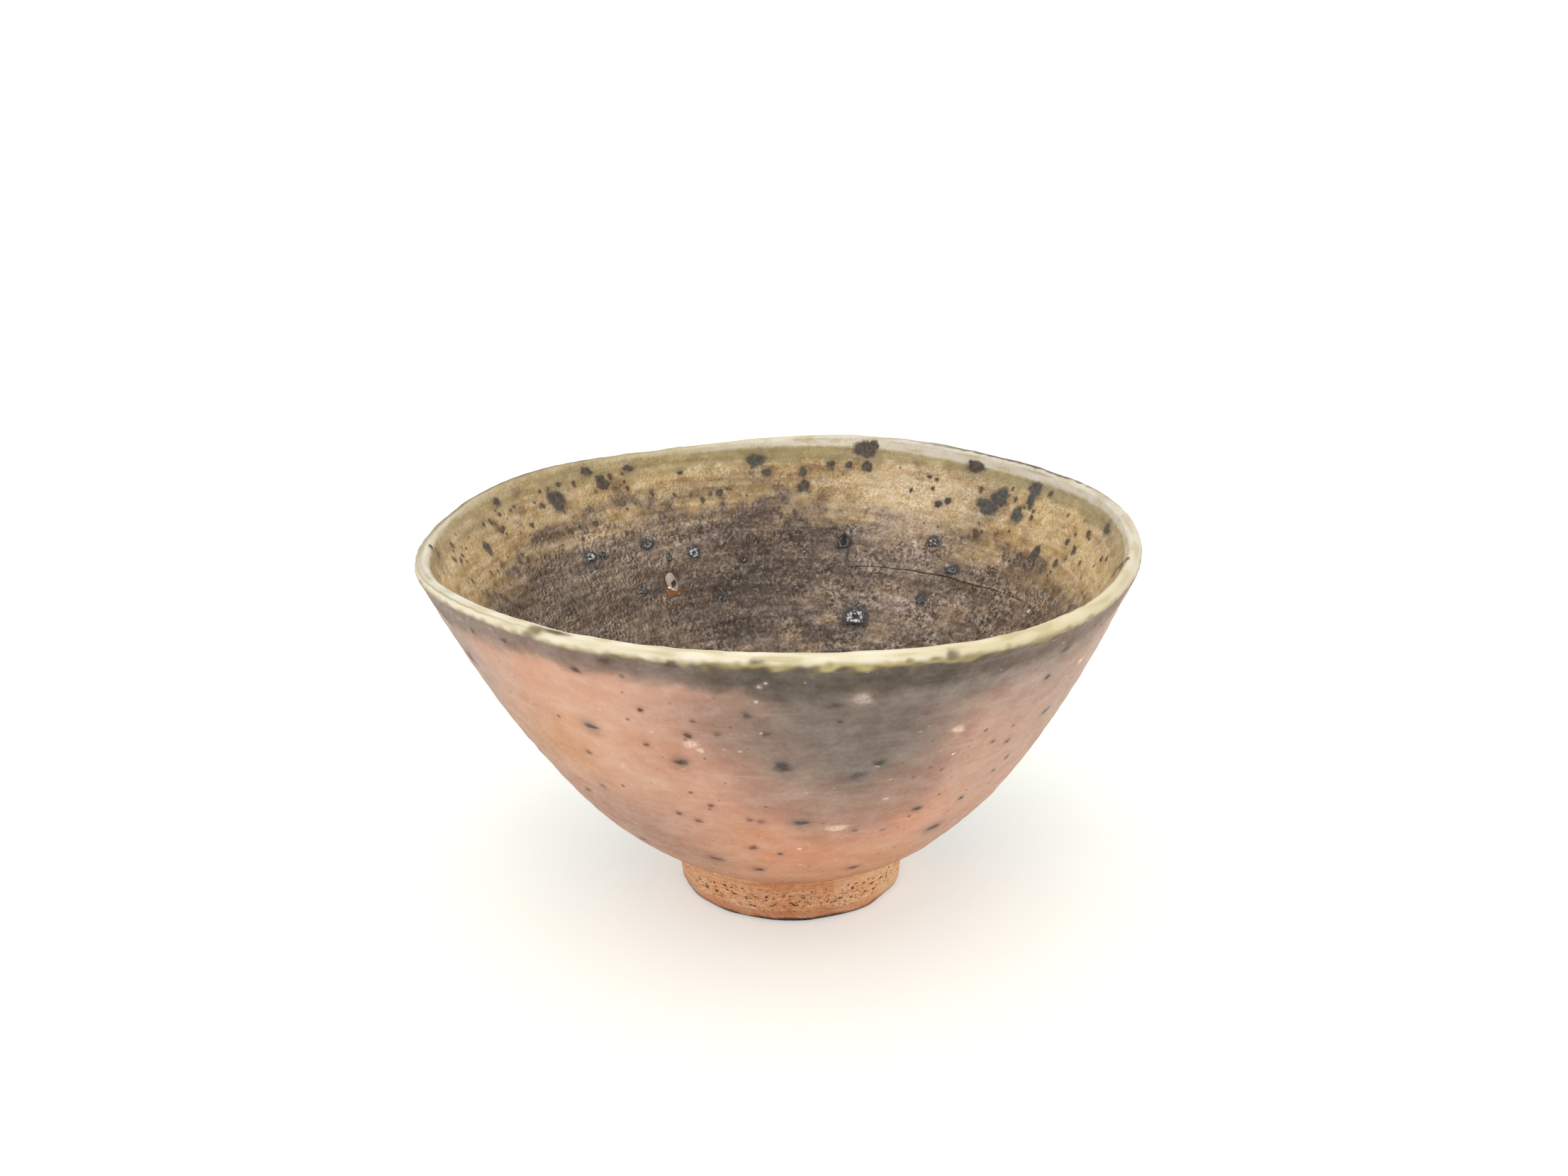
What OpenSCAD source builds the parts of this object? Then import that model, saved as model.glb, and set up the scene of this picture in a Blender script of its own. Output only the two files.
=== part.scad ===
// Wood-fired stoneware tea bowl on a turned foot ring, with its fired coats and the
// iron, quartz and glass that the kiln left in them. Millimetres, +Z up.
// Z = 0 is the table, and the Z axis runs through the middle of the rim.
// Azimuth 0 is +X and azimuth -90 is the front.

/* [Bowl] */
// Widest diameter, over the glazed lip
rim_d = 120; // [104:1:140]
// Mean height of the lip above the table
bowl_h = 64; // [54:0.5:76]
// Fullness of the outside curve: low is round-bellied, high is nearer a cone
belly = 0.52; // [0.44:0.01:0.66]
// How steeply the outside curve leaves the foot: at 0 it leaves level
toe = 0.02; // [0.005:0.005:0.1]
// Thickness of the clay halfway up the wall
wall_t = 4.4; // [3.6:0.1:6]
// Thickness of the lip, glaze included
lip_t = 2.4; // [2:0.1:4]
// Thickness of the clay above the foot
floor_t = 6; // [4.6:0.1:8]
// Depth of the well in the middle of the floor
well_d = 1; // [0.4:0.1:2]
// How far the rim waves up and down
rim_rise = 0.8; // [0:0.1:1.6]
// How far the rim waves in and out
rim_sway = 0.5; // [0:0.05:1.5]

/* [Foot] */
// Diameter of the foot where it meets the bowl
foot_d = 39; // [34:0.2:46]
// Height of the foot
foot_h = 8.3; // [6.5:0.1:11]
// Outside diameter of the face that the bowl rests on
rest_d = 38.4; // [33:0.2:45]
// Width of the ring that the bowl rests on
rest_w = 5; // [3.5:0.1:7]
// Height of the smoothed bevel along the base
bevel_h = 1.8; // [0.8:0.1:3]
// How much the recess narrows from the base to the bowl, at each side
recess_draft = 1; // [0:0.1:2]
// How far the bowl's underside bulges into the recess
recess_boss = 0.8; // [0.2:0.1:1.5]
// How far the foot stands sideways from the middle of the rim
foot_shift = 1.8; // [0:0.1:3]

/* [Coats] */
// Thickness of every coat where it meets the next, and of the glaze on the lip
coat_t = 0.4; // [0.3:0.05:0.7]
// Thickness of the outside slip at its fullest
slip_t = 0.4; // [0.3:0.05:0.8]
// Thickness of the ash band at its fullest
ash_t = 0.5; // [0.3:0.05:0.9]
// Thickness of the pooled ring at its fullest
pool_t = 0.8; // [0.4:0.05:1.2]
// Thickness of the inside glaze on the floor
glaze_t = 0.6; // [0.4:0.05:1]
// Bare ring left between the foot and the slip
bare_w = 1.2; // [0.8:0.1:2.4]
// Height of the ash band
ash_w = 5; // [3:0.5:9]
// How far the lip glaze runs down the outside
lip_out_w = 2; // [1:0.1:3.5]
// How far the lip glaze runs down the inside
lip_in_w = 1.6; // [1:0.1:3.5]
// Height of the pooled ring
pool_w = 3.5; // [2:0.5:6]

/* [Spots] */
// Diameter of the largest iron spot
spot_d = 3; // [2:0.1:4]
// Thickness of an iron spot
spot_t = 0.3; // [0.2:0.05:0.5]
// Diameter of the largest quartz stone
grit_d = 2; // [1.2:0.1:3]
// Diameter of the largest blister ring
blister_d = 3.4; // [2.4:0.1:4.6]
// Thickness of the glass in a blister ring
blister_w = 0.5; // [0.3:0.05:0.7]
// Diameter of the amber drop
amber_d = 2.6; // [1.8:0.1:3.6]
// Room under a spot's flat face, so that it clears the curved coat
spot_gap = 0.2; // [0.15:0.05:0.3]

/* [Hidden] */
$fn = 64;

// Steps round the bowl, and up each stretch of its section
round_steps = 60;
slip_steps = 10;
band_steps = 2;
lip_steps = 8;
wall_steps = 10;
floor_steps = 3;

// Waves of the rim: lobes round the bowl, share of rim_rise or rim_sway, azimuth of a crest
rise_waves = [[1, 0.65, -2], [2, 1.04, 58.5], [3, 0.45, 9], [4, 0.2, -23], [5, 0.47, 0], [6, 0.14, 24]];
sway_waves = [[2, 1, -43]];

// Spots: azimuth, share of the wall's height, share of the largest diameter
inside_spots = [
    [139, 0.91, 1], [127, 0.92, 0.5], [95, 0.93, 0.8], [85, 0.87, 0.5], [73, 0.94, 0.8],
    [40, 0.9, 0.8], [43, 0.85, 0.8], [34, 0.86, 0.5], [32, 0.93, 0.6], [4, 0.94, 0.5], [-1, 0.89, 0.5],
    [25, 0.77, 0.4], [103, 0.85, 0.4], [163, 0.88, 0.5], [143, 0.81, 0.4], [75, 0.66, 0.8], [52, 0.51, 0.6]
];
outside_spots = [
    [-152, 0.8, 0.9], [-120, 0.9, 0.6], [-122, 0.72, 0.9], [-111, 0.82, 0.4], [-104, 0.75, 0.4],
    [-107, 0.65, 0.8], [-90, 0.65, 1], [-99, 0.76, 0.5], [-92, 0.77, 0.5], [-74, 0.65, 0.8],
    [-78, 0.6, 0.8], [-87, 0.42, 0.7], [-63, 0.43, 0.6], [-53, 0.3, 0.9], [-51, 0.42, 0.5],
    [-47, 0.62, 0.5], [-38, 0.67, 0.6], [-43, 0.89, 0.8], [-131, 0.22, 0.6], [-153, 0.46, 0.8]
];
quartz_stones = [
    [-104, 0.7, 0.5], [-78, 0.89, 0.8], [-61, 0.74, 0.7], [-79, 0.39, 0.8], [-35, 0.83, 0.7]
];
blister_rings = [
    [111, 0.66, 0.8], [122, 0.71, 0.7], [99, 0.61, 0.5], [53, 0.7, 0.6], [46, 0.63, 0.5],
    [70, 0.42, 1], [127, 0.56, 0.5]
];
amber_place = [119, 0.555];
chip_place = [119, 0.605, 0.7];

// The unseen back of the outside wall has spots of the same kind, spread by the golden angle
back_spots = [for (k = [1:9]) [10 + (k*137.5) % 180, 0.25 + 0.07*k, 0.4 + 0.2*(k % 4)]];
back_stones = [for (k = [1:4]) [20 + (k*137.5) % 160, 0.3 + 0.13*k, 0.6]];

// Section of the clay: the lip is a circle, and the outside curve runs from the foot to its flank
joint_r = foot_d/2;
lip_r = rim_d/2 - lip_t/2;
lip_z = bowl_h - lip_t/2;
lip_clay_r = lip_t/2 - coat_t;

// The outside curve is a power curve that starts a little way up, at toe, to leave the foot at a slope
curve_start = pow(toe, belly);
curve_span = pow(1 + toe, belly) - curve_start;
function curve(t) = (pow(t + toe, belly) - curve_start)/curve_span;
function curve_slope(t) = belly*pow(t + toe, belly - 1)/curve_span;
lip_lean = atan(curve_slope(1)*(lip_r - joint_r)/(lip_z - foot_h));
flank_r = lip_r + lip_clay_r*cos(lip_lean);
flank_z = lip_z - lip_clay_r*sin(lip_lean);

// Shares of the wall's height at which one coat ends and the next begins
slip_from = pow(bare_w/(flank_r - joint_r)*curve_span + curve_start, 1/belly) - toe;
lip_to = 1 - lip_out_w/(flank_z - foot_h);
ash_from = lip_to - ash_w/(flank_z - foot_h);
lip_from = 1 - lip_in_w/(flank_z - foot_h);
pool_from = lip_from - pool_w/(flank_z - foot_h);

// Foot and recess
rest_r = rest_d/2;
recess_base_r = rest_r - rest_w;
recess_top_r = recess_base_r - recess_draft;

function wave(waves, size, az) =
    size*[for (w = waves) w[1]*cos(w[0]*(az - w[2]))]*[for (w = waves) 1];

// A point of the section, carried to its azimuth: the rim's waves and shift grow with height
function place(r, z, az) =
    let (
        share = max(0, (z - foot_h)/(lip_z - foot_h)),
        swayed = r*(1 + share*wave(sway_waves, rim_sway, az)/(rim_d/2))
    )
    [
        foot_shift*(1 - share) + swayed*cos(az),
        swayed*sin(az),
        z + share*wave(rise_waves, rim_rise, az)
    ];

// Outside curve, its outward direction and the clay behind it, by share of the wall's height
function outside_r(t) = joint_r + (flank_r - joint_r)*curve(t);
function outside_z(t) = foot_h + (flank_z - foot_h)*t;
function outward(t) =
    let (
        run = (flank_r - joint_r)*curve_slope(t),
        rise = flank_z - foot_h
    )
    [rise, -run]/norm([rise, run]);
function clay_t(t) = floor_t*pow(1 - t, 2) + 2*wall_t*t*(1 - t) + 2*lip_clay_r*t*t;

// Stations along the section: radius, height, and the direction in which a coat lies on them
function outside_at(t) = concat([outside_r(t), outside_z(t)], outward(t));
function inside_at(t) = concat([outside_r(t), outside_z(t)] - clay_t(t)*outward(t), -outward(t));
function lip_at(a) = [lip_r + lip_clay_r*cos(a), lip_z + lip_clay_r*sin(a), cos(a), sin(a)];
floor_edge = inside_at(slip_from);
function floor_at(k) =
    [floor_edge[0]*(1 - k), floor_edge[1] - well_d*(1 - pow(1 - k, 2)), 0, 1];

function spread(from, to, steps, power = 1) =
    [for (i = [0:steps]) from + (to - from)*pow(i/steps, power)];
function reversed(v) = [for (i = [len(v) - 1:-1:0]) v[i]];
function tail(v) = [for (i = [1:len(v) - 1]) v[i]];

// The wall's heights are closer together near the foot, where it curves most
near_foot = 1.6;
slip_line = [for (t = spread(slip_from, ash_from, slip_steps, near_foot)) outside_at(t)];
ash_line = [for (t = spread(ash_from, lip_to, band_steps)) outside_at(t)];
lip_line = concat(
    [outside_at(lip_to)],
    [for (a = spread(-lip_lean, 180 - lip_lean, lip_steps)) lip_at(a)],
    [inside_at(lip_from)]
);
pool_line = [for (t = spread(lip_from, pool_from, band_steps)) inside_at(t)];
inside_line = concat(
    reversed([for (t = spread(slip_from, pool_from, wall_steps, near_foot)) inside_at(t)]),
    [for (k = tail(spread(0, 1, floor_steps))) floor_at(k)]
);

function clay_side(line) = [for (s = line) [s[0], s[1]]];
function coat_side(line, fullest, span = 180) =
    let (last = len(line) - 1)
    [for (i = [0:last])
        let (k = coat_t + (fullest - coat_t)*sin(span*i/last))
        [line[i][0], line[i][1]] + k*[line[i][2], line[i][3]]];

// Carries a closed section round the bowl
module ring_of(section) {
    m = len(section);
    n = round_steps;
    polyhedron(
        points = [for (p = section) for (j = [0:n - 1]) place(p[0], p[1], 360*j/n)],
        faces = [for (i = [0:m - 1]) for (j = [0:n - 1])
            let (a = i*n, b = ((i + 1) % m)*n, k = (j + 1) % n)
            each [[a + j, b + j, b + k], [a + j, b + k, a + k]]]
    );
}

// The same for a section that starts and ends on the bowl's middle
module dish_of(section) {
    m = len(section) - 2;
    n = round_steps;
    first = section[0];
    last = section[m + 1];
    polyhedron(
        points = concat(
            [for (i = [1:m]) for (j = [0:n - 1]) place(section[i][0], section[i][1], 360*j/n)],
            [place(first[0], first[1], 0), place(last[0], last[1], 0)]
        ),
        faces = concat(
            [for (j = [0:n - 1]) [m*n, j, (j + 1) % n]],
            [for (i = [0:m - 2]) for (j = [0:n - 1])
                let (a = i*n, b = a + n, k = (j + 1) % n)
                each [[a + j, b + j, b + k], [a + j, b + k, a + k]]],
            [for (j = [0:n - 1]) [(m - 1)*n + j, m*n + 1, (m - 1)*n + (j + 1) % n]]
        )
    );
}

module coat_ring(line, fullest) {
    ring_of(concat(coat_side(line, fullest), reversed(clay_side(line))));
}

// Stands children on a station's coat, facing away from the clay
module stand_on(station, az, lift) {
    r = station[0] + lift*station[2];
    z = station[1] + lift*station[3];
    translate(place(r, z, az))
        rotate([0, atan2(station[2], station[3]), az])
            children();
}

module on_outside(az, t) {
    stand_on(outside_at(t), az, (t > ash_from ? ash_t : max(coat_t, slip_t)) + spot_gap)
        children();
}

module on_inside(az, t) {
    stand_on(inside_at(t), az, (t > pool_from ? pool_t : glaze_t) + spot_gap)
        children();
}

module spot(d) {
    spot_taper = 0.8;
    cylinder(h = spot_t, d1 = d, d2 = d*spot_taper);
}

// A stone with most of its height above the coat
module stone(d) {
    difference() {
        sphere(d = d);
        translate([-d, -d, -2*d])
            cube(2*d);
    }
}

module blister(d) {
    translate([0, 0, blister_w/2])
        rotate_extrude()
            translate([d/2 - blister_w/2, 0])
                circle(d = blister_w);
}

// Thrown bowl: underside, wall, lip and floor
module bowl_wall() {
    color("#b08d74")
        dish_of(concat(
            [[0, foot_h - recess_boss], [recess_top_r/2, foot_h - recess_boss*0.75]],
            [[recess_top_r, foot_h], [joint_r, foot_h]],
            clay_side(slip_line),
            tail(clay_side(ash_line)),
            tail(clay_side(lip_line)),
            tail(clay_side(pool_line)),
            tail(clay_side(inside_line))
        ));
}

// Turned foot, luted under the bowl
module foot_ring() {
    color("#c08a5e")
        translate([foot_shift, 0, 0])
            rotate_extrude()
                polygon([
                    [recess_base_r, 0],
                    [rest_r, 0],
                    [joint_r, bevel_h],
                    [joint_r, foot_h],
                    [recess_top_r, foot_h]
                ]);
}

module outside_slip() {
    color("#d3a48c") coat_ring(slip_line, slip_t);
}

module ash_band() {
    color("#6d6153") coat_ring(ash_line, ash_t);
}

module lip_glaze() {
    color("#efe2bd") coat_ring(lip_line, coat_t);
}

module glaze_pool() {
    color("#8f8a5c") coat_ring(pool_line, pool_t);
}

module inside_glaze() {
    color("#8a6f50")
        dish_of(concat(reversed(clay_side(inside_line)), coat_side(inside_line, glaze_t, 90)));
}

module iron_spots_inside() {
    color("#3d3e3e")
        for (s = inside_spots)
            on_inside(s[0], s[1]) spot(spot_d*s[2]);
}

module iron_spots_outside() {
    color("#4a4440")
        for (s = concat(outside_spots, back_spots))
            on_outside(s[0], s[1]) spot(spot_d*s[2]);
}

module quartz_grit() {
    color("#ece4dc") {
        for (s = concat(quartz_stones, back_stones))
            on_outside(s[0], s[1]) stone(grit_d*s[2]);
        on_inside(chip_place[0], chip_place[1]) stone(grit_d*chip_place[2]);
    }
}

module glass_blisters() {
    color("#9fb3b8")
        for (s = blister_rings)
            on_inside(s[0], s[1]) blister(blister_d*s[2]);
}

module amber_drop() {
    color("#b4692a")
        on_inside(amber_place[0], amber_place[1]) stone(amber_d);
}

bowl_wall();
foot_ring();
outside_slip();
ash_band();
lip_glaze();
glaze_pool();
inside_glaze();
iron_spots_inside();
iron_spots_outside();
quartz_grit();
glass_blisters();
amber_drop();
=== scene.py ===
"""Looks for a wood-fired stoneware tea bowl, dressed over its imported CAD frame.

A place on the bowl's skin is given by two numbers. az is the angle in degrees from +X towards +Y, so the
photographed front is at -90. s is the way along the section: 0 to 1 up the outside wall, 1 to 2 over
the lip, 2 to 3 down the inside wall and 3 to 4 from the floor's edge to its middle.
Lengths are in millimetres until a mesh is made, which is in metres. Colours are display colours, 0 to 255.
"""
import functools
import math

import bpy
import numpy as np
from mathutils import Matrix, Vector


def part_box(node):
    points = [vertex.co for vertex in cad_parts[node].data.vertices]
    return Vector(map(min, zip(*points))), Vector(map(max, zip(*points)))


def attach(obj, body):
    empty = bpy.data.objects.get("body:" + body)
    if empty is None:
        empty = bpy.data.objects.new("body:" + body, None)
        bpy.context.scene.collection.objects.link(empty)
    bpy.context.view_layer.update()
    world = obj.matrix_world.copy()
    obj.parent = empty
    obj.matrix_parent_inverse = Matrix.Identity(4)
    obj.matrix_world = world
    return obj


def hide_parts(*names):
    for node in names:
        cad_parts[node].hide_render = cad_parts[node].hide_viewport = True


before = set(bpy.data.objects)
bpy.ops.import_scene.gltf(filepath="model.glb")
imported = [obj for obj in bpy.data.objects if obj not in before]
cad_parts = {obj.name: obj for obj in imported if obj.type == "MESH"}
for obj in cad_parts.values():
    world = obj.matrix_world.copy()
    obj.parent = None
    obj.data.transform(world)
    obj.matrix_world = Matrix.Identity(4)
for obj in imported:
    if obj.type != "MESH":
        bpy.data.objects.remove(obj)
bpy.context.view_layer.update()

MM = 0.001
TURNS, LIP_TURNS = 720, 1440
LIP_TOP = 1.5  # the s that parts the outside from the inside
FLOOR_END = 3.9995  # just short of the floor's middle, where a ring of points would close

# Sizes shared with the CAD source
foot_low, foot_high = (np.array(corner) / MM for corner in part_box("foot_ring"))
FOOT_H = foot_high[2]
JOINT_R = (foot_high[0] - foot_low[0]) / 2
FOOT_SHIFT = (foot_high[0] + foot_low[0]) / 2
RIM_D, BOWL_H, BELLY, TOE = 120, 64, 0.52, 0.02
WALL_T, LIP_T, FLOOR_T, WELL_D = 4.4, 2.4, 6.0, 1.0
REST_R, REST_W, BEVEL_H, RECESS_DRAFT, RECESS_BOSS = 19.2, 5.0, 1.8, 1.0, 0.8
COAT_T, GLAZE_T = 0.4, 0.6
BARE_W, ASH_W, LIP_OUT_W, LIP_IN_W, POOL_W = 1.2, 5.0, 2.0, 1.6, 3.5
RISE_WAVES = [(1, 0.52, -2), (2, 0.832, 58.5), (3, 0.36, 9), (4, 0.16, -23), (5, 0.376, 0), (6, 0.112, 24)]
SWAY_WAVES = [(2, 0.5, -43)]

LIP_R = RIM_D / 2 - LIP_T / 2
LIP_Z = BOWL_H - LIP_T / 2
LIP_CLAY_R = LIP_T / 2 - COAT_T
CURVE_START = TOE ** BELLY
CURVE_SPAN = (1 + TOE) ** BELLY - CURVE_START
LIP_LEAN = math.atan(BELLY * (1 + TOE) ** (BELLY - 1) / CURVE_SPAN * (LIP_R - JOINT_R) / (LIP_Z - FOOT_H))
FLANK_R = LIP_R + LIP_CLAY_R * math.cos(LIP_LEAN)
FLANK_Z = LIP_Z - LIP_CLAY_R * math.sin(LIP_LEAN)
WALL_H = FLANK_Z - FOOT_H

# Where each coat starts and ends on the wall, as shares of its height
SLIP_FROM = (BARE_W / (FLANK_R - JOINT_R) * CURVE_SPAN + CURVE_START) ** (1 / BELLY) - TOE
LIP_TO = 1 - LIP_OUT_W / WALL_H
ASH_FROM = LIP_TO - ASH_W / WALL_H
LIP_FROM = 1 - LIP_IN_W / WALL_H
POOL_FROM = LIP_FROM - POOL_W / WALL_H


# The skin's shape

def smooth(low, high, value):
    """0 below low, 1 above high and an S curve between them."""
    share = np.clip((value - low) / (high - low), 0, 1)
    return share * share * (3 - 2 * share)


def wave(waves, az):
    """Sum of (lobes, height, az of a crest) waves round the rim."""
    return sum(height * np.cos(np.radians(lobes * (az - crest))) for lobes, height, crest in waves)


def ripple(points, size, seed, count=22):
    """Smooth seeded noise of about unit spread, with bumps of the given size in millimetres."""
    rng = np.random.default_rng(seed)
    ways = rng.normal(size=(count, 3))
    ways *= (2 * math.pi / size * rng.uniform(0.6, 1.3, count) / np.linalg.norm(ways, axis=1))[:, None]
    starts = rng.uniform(0, 2 * math.pi, count)
    return sum(np.cos(points @ way + start) for way, start in zip(ways, starts)) * math.sqrt(2 / count)


def ring_points(r, z, az):
    """Points at radius r and height z, turned to az."""
    turn = np.radians(az)
    return np.stack([r * np.cos(turn), r * np.sin(turn), z], -1)


def outside_clay(t):
    """Radius, height and outward direction of the clay's outside at share t of the wall's height."""
    swing = FLANK_R - JOINT_R
    run = swing * BELLY * (t + TOE) ** (BELLY - 1) / CURVE_SPAN
    length = np.hypot(run, WALL_H)
    out = JOINT_R + swing * ((t + TOE) ** BELLY - CURVE_START) / CURVE_SPAN
    return out, FOOT_H + WALL_H * t, WALL_H / length, -run / length


def outside_coat(t):
    """The slip's surface on the outside wall, in the form of outside_clay."""
    r, z, nr, nz = outside_clay(t)
    return r + COAT_T * nr, z + COAT_T * nz, nr, nz


def lip_coat(turn):
    """The glaze round the lip, from 0 at its outer flank to 1 at the inner one."""
    angle = -LIP_LEAN + math.pi * turn
    nr, nz = np.cos(angle), np.sin(angle)
    return LIP_R + LIP_T / 2 * nr, LIP_Z + LIP_T / 2 * nz, nr, nz


def inside_coat(down):
    """The glaze down the inside wall, from 0 at the lip to 1 at the floor's edge."""
    t = np.clip(1 - down, SLIP_FROM, 1)
    r, z, nr, nz = outside_clay(t)
    clay_t = FLOOR_T * (1 - t) ** 2 + 2 * WALL_T * t * (1 - t) + 2 * LIP_CLAY_R * t * t
    coat = COAT_T + (GLAZE_T - COAT_T) * (1 - smooth(POOL_FROM - 0.15, LIP_FROM, t))
    return r - (clay_t + coat) * nr, z - (clay_t + coat) * nz, -nr, -nz


def floor_coat(inwards):
    """The glaze over the floor's shallow well, from 0 at its edge to 1 in the middle."""
    edge_r, edge_z, _, _ = (float(v[0]) for v in inside_coat(np.array([1.0])))
    left = 1 - inwards
    slope = 2 * WELL_D * left / edge_r
    length = np.hypot(slope, 1)
    return edge_r * left, edge_z - WELL_D * (1 - left ** 2), -slope / length, 1 / length


def section(s):
    """Radius, height and outward direction of the coats' surface at each s."""
    found = np.empty((4, len(s)))
    for start, run in enumerate((outside_coat, lip_coat, inside_coat, floor_coat)):
        here = (s >= start if start else s < 1) & (s < start + 1 if start < 3 else s >= 3)
        found[:, here] = run(s[here] - start)
    return found


FINE_S = np.linspace(0, 4, 8001)
FINE_R, FINE_Z, _, _ = section(FINE_S)
FINE_WAY = np.concatenate([[0], np.cumsum(np.hypot(np.diff(FINE_R), np.diff(FINE_Z)))])


def way(s):
    """Millimetres along the section from the joint with the foot to s."""
    return np.interp(s, FINE_S, FINE_WAY)


def s_at(length):
    """The s that lies this many millimetres along the section."""
    return np.interp(length, FINE_WAY, FINE_S)


def place(r, z, az):
    """Frame coordinates of a section point turned to az, with the rim's waves and the foot's shift."""
    share = np.clip((z - FOOT_H) / (LIP_Z - FOOT_H), 0, None)
    turn = np.radians(az)
    swayed = r * (1 + share * wave(SWAY_WAVES, az) / (RIM_D / 2))
    return np.stack([FOOT_SHIFT * (1 - share) + swayed * np.cos(turn), swayed * np.sin(turn),
                     z + share * wave(RISE_WAVES, az)], -1)


def relief(points, s):
    """How far the fired surface swells out of the smooth form: hand wobble, throwing rings and drips."""
    outside, inside = 1 - smooth(0.9, 1.2, s), smooth(1.8, 2.1, s)
    lip = 1 - outside - inside
    height = points[..., 2]
    drift = ripple(points, 40, 11)
    outer = (0.07 * ripple(points, 17, 1) + 0.03 * ripple(points, 5, 2) + 0.014 * ripple(points, 2.2, 3)
             + 0.03 * np.sin(2 * math.pi * height / 3.4 + 1.4 * drift))
    inner = (0.12 * ripple(points, 19, 4) + 0.05 * ripple(points, 6, 5) + 0.02 * ripple(points, 2.5, 6)
             + 0.08 * np.sin(2 * math.pi * height / 6.5 + 1.6 * drift))
    crest = 0.05 * ripple(points, 9, 7) + 0.02 * ripple(points, 3.2, 8)
    return outside * outer + inside * inner + lip * crest


def skin(az, s, lift=0.0):
    """Points of the fired surface at az and s, raised by lift."""
    r, z, nr, nz = section(s)
    swell = relief(place(r, z, az), s) + lift
    return place(r + nr * swell, z + nz * swell, az)


# Spots, stones and glass as (az, s, width, height): a place, then a size in millimetres

IRON_TINTS = {
    "black": (102, 80, 73), "blue": (92, 82, 76), "green": (86, 84, 73), "brown": (126, 94, 80),
    "plum": (150, 106, 95), "red": (112, 58, 46), "ash": (100, 89, 81), "inside": (92, 82, 73),
    "slate": (92, 88, 82), "pit": (44, 40, 38), "dot": (107, 88, 71), "smear": (118, 94, 72),
}
OUTSIDE_IRON = {
    "black": [
        (-152.2, 0.8, 2, 1.6), (-132.8, 0.958, 1.2, 0.8), (-141.5, 0.944, 1, 0.8), (-119.5, 0.93, 1.2, 1),
        (-113.8, 0.978, 2, 1), (-103.8, 0.996, 1.8, 0.9), (-104.2, 0.75, 1, 0.9),
        (-106.8, 0.646, 1.7, 1.2), (-92, 0.772, 0.9, 0.7), (-108.8, 0.214, 1.9, 0.9),
        (-98.2, 0.174, 1.4, 0.8), (-133, 0.205, 1.2, 0.7), (-153, 0.455, 1.2, 0.8),
        (-53.7, 0.297, 2.6, 1.4), (-71.5, 0.155, 1.5, 0.9), (-43.5, 0.926, 1.8, 1),
    ],
    "ash": [
        (-82, 0.872, 1.8, 1.2), (-77, 0.606, 2.2, 1.3), (-81, 0.814, 0.9, 0.7), (-94.5, 0.834, 1.1, 0.9),
    ],
    "blue": [
        (-122, 0.722, 2, 1), (-89.8, 0.652, 2.5, 2), (-86.8, 0.418, 1.9, 1.1), (-62.8, 0.43, 1.3, 1),
        (-91.8, 0.268, 0.8, 0.6), (-45, 0.842, 1.1, 0.8),
    ],
    "green": [(-73.8, 0.646, 1.8, 1.2), (-51.2, 0.416, 0.9, 0.7), (-38.5, 0.675, 1.3, 0.9)],
    "brown": [
        (-99.5, 0.762, 0.8, 0.6), (-102.8, 0.806, 0.7, 0.5), (-129, 0.46, 0.8, 0.6), (-137, 0.4, 1, 0.7),
        (-126.2, 0.606, 0.8, 0.6), (-112, 0.696, 0.7, 0.5), (-104, 0.478, 0.8, 0.7),
        (-108, 0.402, 0.9, 0.7), (-111.8, 0.422, 0.8, 0.6), (-97.8, 0.296, 1, 0.8),
        (-46.8, 0.616, 0.9, 0.7), (-51.5, 0.644, 0.8, 0.6), (-42.5, 0.524, 1, 0.7), (-45, 0.49, 0.8, 0.6),
        (-67.8, 0.82, 1, 0.8),
    ],
    "plum": [
        (-94.8, 0.422, 1, 0.8), (-97, 0.426, 0.9, 0.7), (-69, 0.354, 0.7, 0.5), (-75.5, 0.37, 0.8, 0.6),
    ],
    "red": [(-110.8, 0.824, 0.8, 0.7)],
}
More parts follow.
